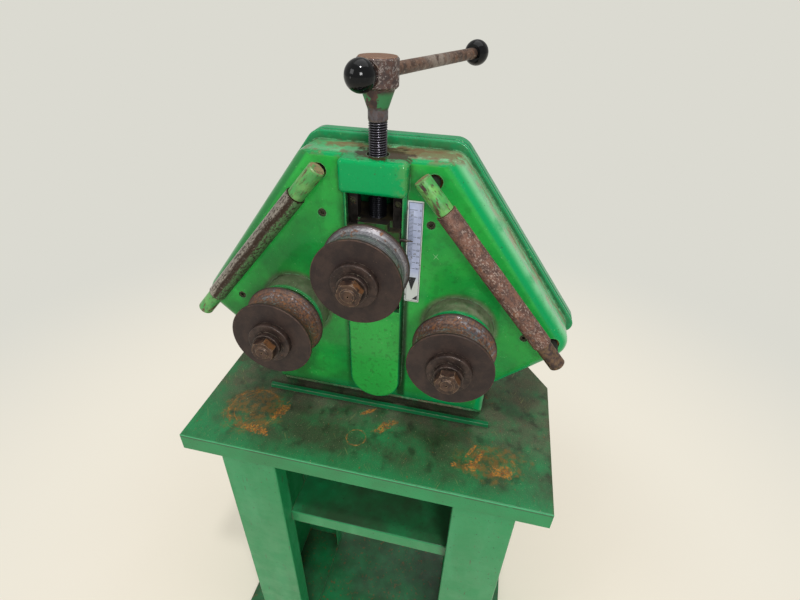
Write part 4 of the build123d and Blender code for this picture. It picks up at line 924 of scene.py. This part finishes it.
def roll_finish(name, seed, rust_share):
    """A turned roll. rust_share is how much of its groove has rusted."""
    finish = Finish(name + "_finish")
    radius, ring_place = round_the_axis(finish, roll_centre(name))
    y = finish.y
    face = finish.mix(finish.noise(0.018, seed, 8.0).step(0.38, 0.62), paint(42, 32, 30), paint(56, 43, 38))
    rings = finish.noise(0.0014, seed + 1, 3.0, place=ring_place)
    face = finish.mix(rings.step(0.54, 0.7) * 0.22, face, paint(80, 62, 54))
    stains = finish.noise(0.007, seed + 2, 7.0).step(0.56, 0.66)
    face = finish.mix(stains * 0.5, face, paint(40, 31, 28))
    nicks = finish.flecks(0.0024, 0.03, seed + 8)
    face = finish.mix(nicks * 0.45, face, paint(104, 84, 70))

    inside = y.step(groove_front_y, groove_front_y + 2 * mm) * y.step(groove_back_y + 4 * mm, groove_back_y)
    inside = inside * radius.step(roll_radius - 0.6 * mm, roll_radius - 1.6 * mm)
    bands = finish.noise(0.003, seed + 3, 5.0, place=ring_place)
    steel = finish.mix(bands.step(0.4, 0.6), paint(156, 154, 158), paint(96, 94, 102))
    grain = finish.noise(0.0022, seed + 9, 8.0)
    steel = finish.mix(grain.step(0.46, 0.62) * 0.5, steel, paint(84, 80, 82))
    # Painted glints: near-white specks over the groove's steel.
    steel = finish.mix(grain.step(0.4, 0.34) * 0.6, steel, paint(206, 202, 196))
    spread = finish.noise(0.026, seed + 4, 4.0)
    rust_level = 1.02 - rust_share - spread * 0.55
    speckle = finish.noise(0.005, seed + 10, 9.0) - rust_level
    mottled = speckle.step(-0.05, 0.06)
    brown = finish.mix(finish.noise(0.0032, seed + 5, 8.0).step(0.42, 0.6), paint(64, 43, 35),
                       paint(116, 78, 54))
    steel = finish.mix(mottled * 0.88, steel, brown)
    orange = mottled * finish.noise(0.006, seed + 11, 8.0).step(0.54, 0.62)
    steel = finish.mix(orange * 0.7, steel, paint(138, 86, 48))
    to_wall = (y.step(groove_front_y + 5 * mm, groove_front_y + 2 * mm)
               | y.step(groove_back_y - 6 * mm, groove_back_y - 2 * mm))
    steel = finish.mix(to_wall * 0.45, steel, paint(74, 58, 50))
    finish.colour = finish.mix(inside, face, steel)

    rim = finish.edges(0.0013) * finish.noise(0.01, seed + 6, 6.0).step(0.42, 0.6)
    finish.lay(paint(128, 90, 66), rim * 0.55)
    burnished = inside * (1 - mottled)
    gloss = burnished.scaled(0.54, 0.32)
    height = rings * 0.5 + finish.noise(0.0022, seed + 7, 6.0)
    return finish.done(gloss, height, 0.0002, burnished.scaled(0.15, 0.6), reflection=0.35)


dress(roll_finish("upper_roll", 3.0, 0.13), "upper_roll")
dress(roll_finish("left_roll", 13.0, 0.38), "left_roll")
dress(roll_finish("right_roll", 23.0, 0.31), "right_roll")


# ---------------------------------------------------------------------------------------------
# Each roll is held on its keyed shaft by a collar, a thick washer and a hexagon nut. All are brown
# with old oil, rubbed pale on their edges, and rustier on the nuts.

def clamp_steel(name, dark, light, pale, seed, rust_share, flat_highlight):
    """Oiled turned steel. The last argument is how strongly a nut's upper right flat, the one turned to the
    lamps, takes a painted tan highlight.
    """
    finish = Finish(name)
    finish.colour = finish.mix(finish.noise(0.009, seed, 7.0).step(0.38, 0.62), dark, light)
    rusted = finish.flecks(0.004, rust_share, seed + 1)
    finish.lay(paint(132, 84, 50), rusted * 0.6)
    # Painted highlight: the flat that faces up and to the right, towards the lamps, is lightened to tan,
    # broken up by noise.
    lit_flat = finish.vector("DOT_PRODUCT", finish.normal, (0.64, 0.0, 0.77), "Value")
    lit_flat_highlight = lit_flat.step(0.93, 0.97) * finish.noise(0.006, seed + 6, 6.0).step(0.4, 0.52)
    finish.lay(paint(136, 92, 54), lit_flat_highlight * flat_highlight)
    rubbed = finish.edges(0.0014) * finish.noise(0.0045, seed + 2, 6.0).step(0.4, 0.52)
    finish.lay(pale, rubbed * 0.85)
    # Painted shade: corners are darkened to near black, broken up by noise.
    black = finish.corners(0.01) * finish.noise(0.006, seed + 3).step(0.26, 0.54)
    finish.lay(paint(22, 17, 14), black * 0.85)
    flecks = finish.flecks(0.0022, 0.05, seed + 7)
    finish.lay(pale, flecks * 0.55)
    gloss = (rusted | finish.noise(0.01, seed + 4).step(0.4, 0.7)).scaled(0.36, 0.6)
    height = finish.noise(0.0018, seed + 5, 5.0) + rusted * 0.4
    return finish.done(gloss, height, 0.0002, rusted.scaled(0.35, 0.1), reflection=0.4)


dress(clamp_steel("clamp_ring_steel", paint(44, 34, 31), paint(66, 52, 46), paint(156, 142, 126),
                  5.0, 0.05, 0.0),
      "upper_clamp_rings", "left_clamp_rings", "right_clamp_rings")
dress(clamp_steel("roll_nut_steel", paint(48, 36, 32), paint(78, 58, 46), paint(140, 116, 92),
                  25.0, 0.08, 0.6),
      "upper_nut", "left_nut", "right_nut", "upper_shaft", "left_shaft", "right_shaft")


# ---------------------------------------------------------------------------------------------
# The two guide bars that steer the bent ring, each with a loose sleeve round its thinner middle.
# The bars' ends are painted green over turned steel; the sleeves are bare and rub on the work.

bar_tilt = {"left": -40.0, "right": 40.0}
bar_back_y = -78.4 * mm


def bar_paint(side, green, steel, brown_from, seed):
    """Green paint on a bar's ends, scratched to steel. Its studs are oiled steel."""
    finish = Finish(f"{side}_bar_paint")
    along = finish.place.turned("Y", bar_tilt[side])
    painted = finish.noise(0.007, seed, 8.0, (1.0, 1.0, 3.0), along).step(0.6, 0.57)
    painted = painted * finish.z.step(brown_from - 0.004, brown_from + 0.004)
    ends = finish.edges(0.0018) * finish.noise(0.008, seed + 1).step(0.3, 0.46)
    cut_face = finish.normal.turned("Y", bar_tilt[side]).axis("Z").step(0.93, 0.97)
    bare_end = cut_face * finish.noise(0.006, seed + 6, 6.0).step(0.38, 0.48)
    painted = painted * (1 - (ends | bare_end))
    under = finish.mix(finish.noise(0.006, seed + 2, 6.0).step(0.38, 0.62), steel, paint(112, 88, 66))
    under = finish.mix(bare_end * 0.8, under, paint(164, 144, 104))
    greens = finish.mix(finish.noise(0.016, seed + 3, 5.0).step(0.4, 0.6), green, paint(66, 146, 74))
    finish.colour = finish.mix(painted, under, greens)
    scratches = finish.noise(0.0026, seed + 4, 7.0, (1.0, 1.0, 4.0), along).step(0.57, 0.61)
    finish.lay(paint(66, 58, 38), scratches * 0.75)
    soiled = finish.noise(0.018, seed + 7, 6.0).step(0.46, 0.66)
    finish.lay(paint(74, 92, 48), soiled * painted * 0.4)
    finish.lay(paint(176, 160, 120), ends * painted * 0.6)
    stud = finish.y.step(bar_back_y - 0.0004, bar_back_y + 0.0004)
    finish.lay(paint(30, 27, 24), stud)
    painted = painted * (1 - stud)
    gloss = painted.scaled(0.58, 0.34)
    return finish.done(gloss, painted + finish.noise(0.002, seed + 5), 0.00018, painted.scaled(0.45, 0.0))


def left_sleeve_finish():
    """The left sleeve: bright where work rubs its upper side, a brown stripe, green paint beyond it."""
    finish = Finish("left_sleeve_steel")
    along = finish.place.turned("Y", bar_tilt["left"])
    side = finish.normal.turned("Y", bar_tilt["left"]).axis("X")
    side = side + (finish.noise(0.014, 6.0, 8.0, (1.0, 1.0, 3.0), along) - 0.5)
    bright = (finish.noise(0.0017, 1.0, 6.0, (1.0, 1.0, 2.4), along).step(0.38, 0.56)
              * side.step(-0.16, -0.46))
    steel = finish.mix(bright, paint(66, 53, 45), paint(174, 166, 154))
    patches = finish.noise(0.0019, 2.0, 6.0, (1.0, 1.0, 1.8), along).step(0.4, 0.48)
    greened = patches * side.step(0.12, 0.34)
    finish.colour = finish.mix(greened * 0.92, steel, paint(72, 118, 68))
    dark = finish.noise(0.003, 3.0, 9.0, (1.0, 1.0, 1.6), along).step(0.53, 0.58) * side.step(-0.4, 0.0)
    finish.lay(paint(52, 44, 34), dark * 0.85)
    speckle = finish.flecks(0.0022, 0.12, 4.0)
    finish.lay(paint(190, 184, 168), speckle * 0.5)
    pits = finish.flecks(0.0026, 0.1, 7.0)
    finish.lay(paint(54, 42, 34), pits * 0.75)
    finish.lay(paint(84, 66, 52), finish.edges(0.0012) * 0.8)
    dull = greened | dark
    return finish.done(dull.scaled(0.28, 0.58), finish.noise(0.002, 5.0, 6.0), 0.00025,
                       dull.scaled(0.85, 0.1))


def right_sleeve_finish():
    """The right sleeve: red-brown rust all over, scuffed pale in short scribbles and flecks."""
    finish = Finish("right_sleeve_rust")
    along = finish.place.turned("Y", bar_tilt["right"])
    finish.colour = finish.mix(finish.noise(0.01, 31.0, 8.0).step(0.4, 0.6), paint(76, 54, 47),
                               paint(112, 78, 64))
    orange = finish.noise(0.007, 32.0, 9.0, (1.0, 1.0, 2.0), along).step(0.57, 0.66)
    finish.lay(paint(142, 92, 56), orange * 0.45)
    grain = finish.noise(0.002, 38.0, 8.0).step(0.5, 0.6)
    finish.lay(paint(134, 104, 90), grain * 0.35)
    dark = finish.noise(0.0026, 33.0, 8.0).step(0.56, 0.61)
    finish.lay(paint(50, 35, 31), dark * 0.75)
    few = finish.noise(0.022, 35.0, 6.0).step(0.44, 0.6)
    few = few.scaled(0.12, 0.75) + finish.z.step(1.0, 0.92) * 0.35
    scuffs = finish.noise(0.0021, 34.0, 9.0, (1.0, 1.0, 1.5), along).step(0.535, 0.575)
    scuffs = scuffs * few
    finish.lay(paint(184, 166, 154), scuffs * 0.8)
    ends = finish.edges(0.0012) * finish.noise(0.006, 36.0).step(0.36, 0.5)
    finish.lay(paint(140, 112, 84), ends * 0.7)
    height = finish.noise(0.0018, 37.0, 6.0) + scuffs * 0.5
    return finish.done(scuffs.scaled(0.64, 0.42), height, 0.0003, scuffs.scaled(0.2, 0.6))


dress(bar_paint("left", paint(98, 158, 84), paint(116, 106, 84), 0.0, 1.0), "left_guide_bar")
dress(bar_paint("right", paint(100, 166, 82), paint(66, 52, 50), 0.93, 11.0), "right_guide_bar")
dress(left_sleeve_finish(), "left_guide_sleeve")
dress(right_sleeve_finish(), "right_guide_sleeve")


# ---------------------------------------------------------------------------------------------
# Inside the housing: bearings, bronze bushes and the nut, and the gear train that turns both lower
# rolls from a pinion. Cut steel and bronze, filmed with gear oil.

def machine_metal(name, base, shade, gloss_low, gloss_high):
    """Clean machined metal with a thin uneven oil film, and painted shade in its corners."""
    finish = Finish(name)
    finish.colour = finish.mix(finish.noise(0.015, 1.0, 5.0).step(0.35, 0.65), base, shade)
    marks = finish.noise(0.0012, 2.0, 3.0)
    # Painted shade: the corners are darkened towards dark brown.
    oil = finish.corners(0.01) * 0.7
    finish.lay(paint(46, 38, 26), oil)
    gloss = finish.noise(0.01, 3.0).step(0.3, 0.7).scaled(gloss_low, gloss_high)
    return finish.done(gloss, marks, 0.00006, 1.0)


dress(machine_metal("bearing_steel_bright", paint(186, 188, 190), paint(150, 152, 154), 0.18, 0.32),
      "slide_bearings", "front_bearings", "back_bearings")
dress(machine_metal("gear_steel_cut", paint(132, 132, 130), paint(96, 94, 90), 0.28, 0.44),
      "left_gear", "right_gear", "pinion_shaft", "worm_shaft")
dress(machine_metal("bronze_cast", paint(176, 132, 70), paint(138, 98, 52), 0.28, 0.46),
      "screw_nut", "guide_bushes", "worm_wheel")


# ---------------------------------------------------------------------------------------------
# The drive at the back: a worm gearbox and a finned motor in grey enamel, with a black plastic fan
# and cover, and a terminal box with its cable gland. They are dusty on top.

def machine_grey():
    finish = Finish("motor_grey_enamel")
    finish.colour = finish.mix(finish.noise(0.08, 1.0).step(0.35, 0.65), paint(104, 112, 116),
                               paint(92, 99, 102))
    upward = finish.normal.axis("Z").step(0.55, 0.95)
    dust = upward * finish.noise(0.03, 2.0, 6.0).step(0.36, 0.66)
    finish.lay(paint(134, 126, 108), dust * 0.55)
    # Painted shade in the corners.
    corners = finish.corners(0.015) * 0.6
    finish.lay(paint(52, 50, 44), corners)
    worn = finish.edges(0.0016) * finish.noise(0.01, 3.0).step(0.5, 0.57)
    finish.lay(paint(150, 148, 140), worn)
    gloss = dust.scaled(0.4, 0.72)
    return finish.done(gloss, finish.noise(0.004, 4.0), 0.0003)


def moulded_black():
    finish = Finish("moulded_black_plastic")
    finish.colour = finish.mix(finish.noise(0.02, 1.0).step(0.4, 0.65), paint(30, 31, 33),
                               paint(42, 42, 43))
    upward = finish.normal.axis("Z").step(0.3, 0.95) * finish.noise(0.012, 2.0, 6.0).step(0.4, 0.66)
    finish.lay(paint(112, 106, 92), upward * 0.45)
    return finish.done(upward.scaled(0.42, 0.7), finish.noise(0.0009, 3.0, 2.0), 0.00008)


dress(machine_grey(), "gearbox_housing", "motor_body", "terminal_box")
dress(moulded_black(), "motor_fan", "fan_cover", "cable_gland")
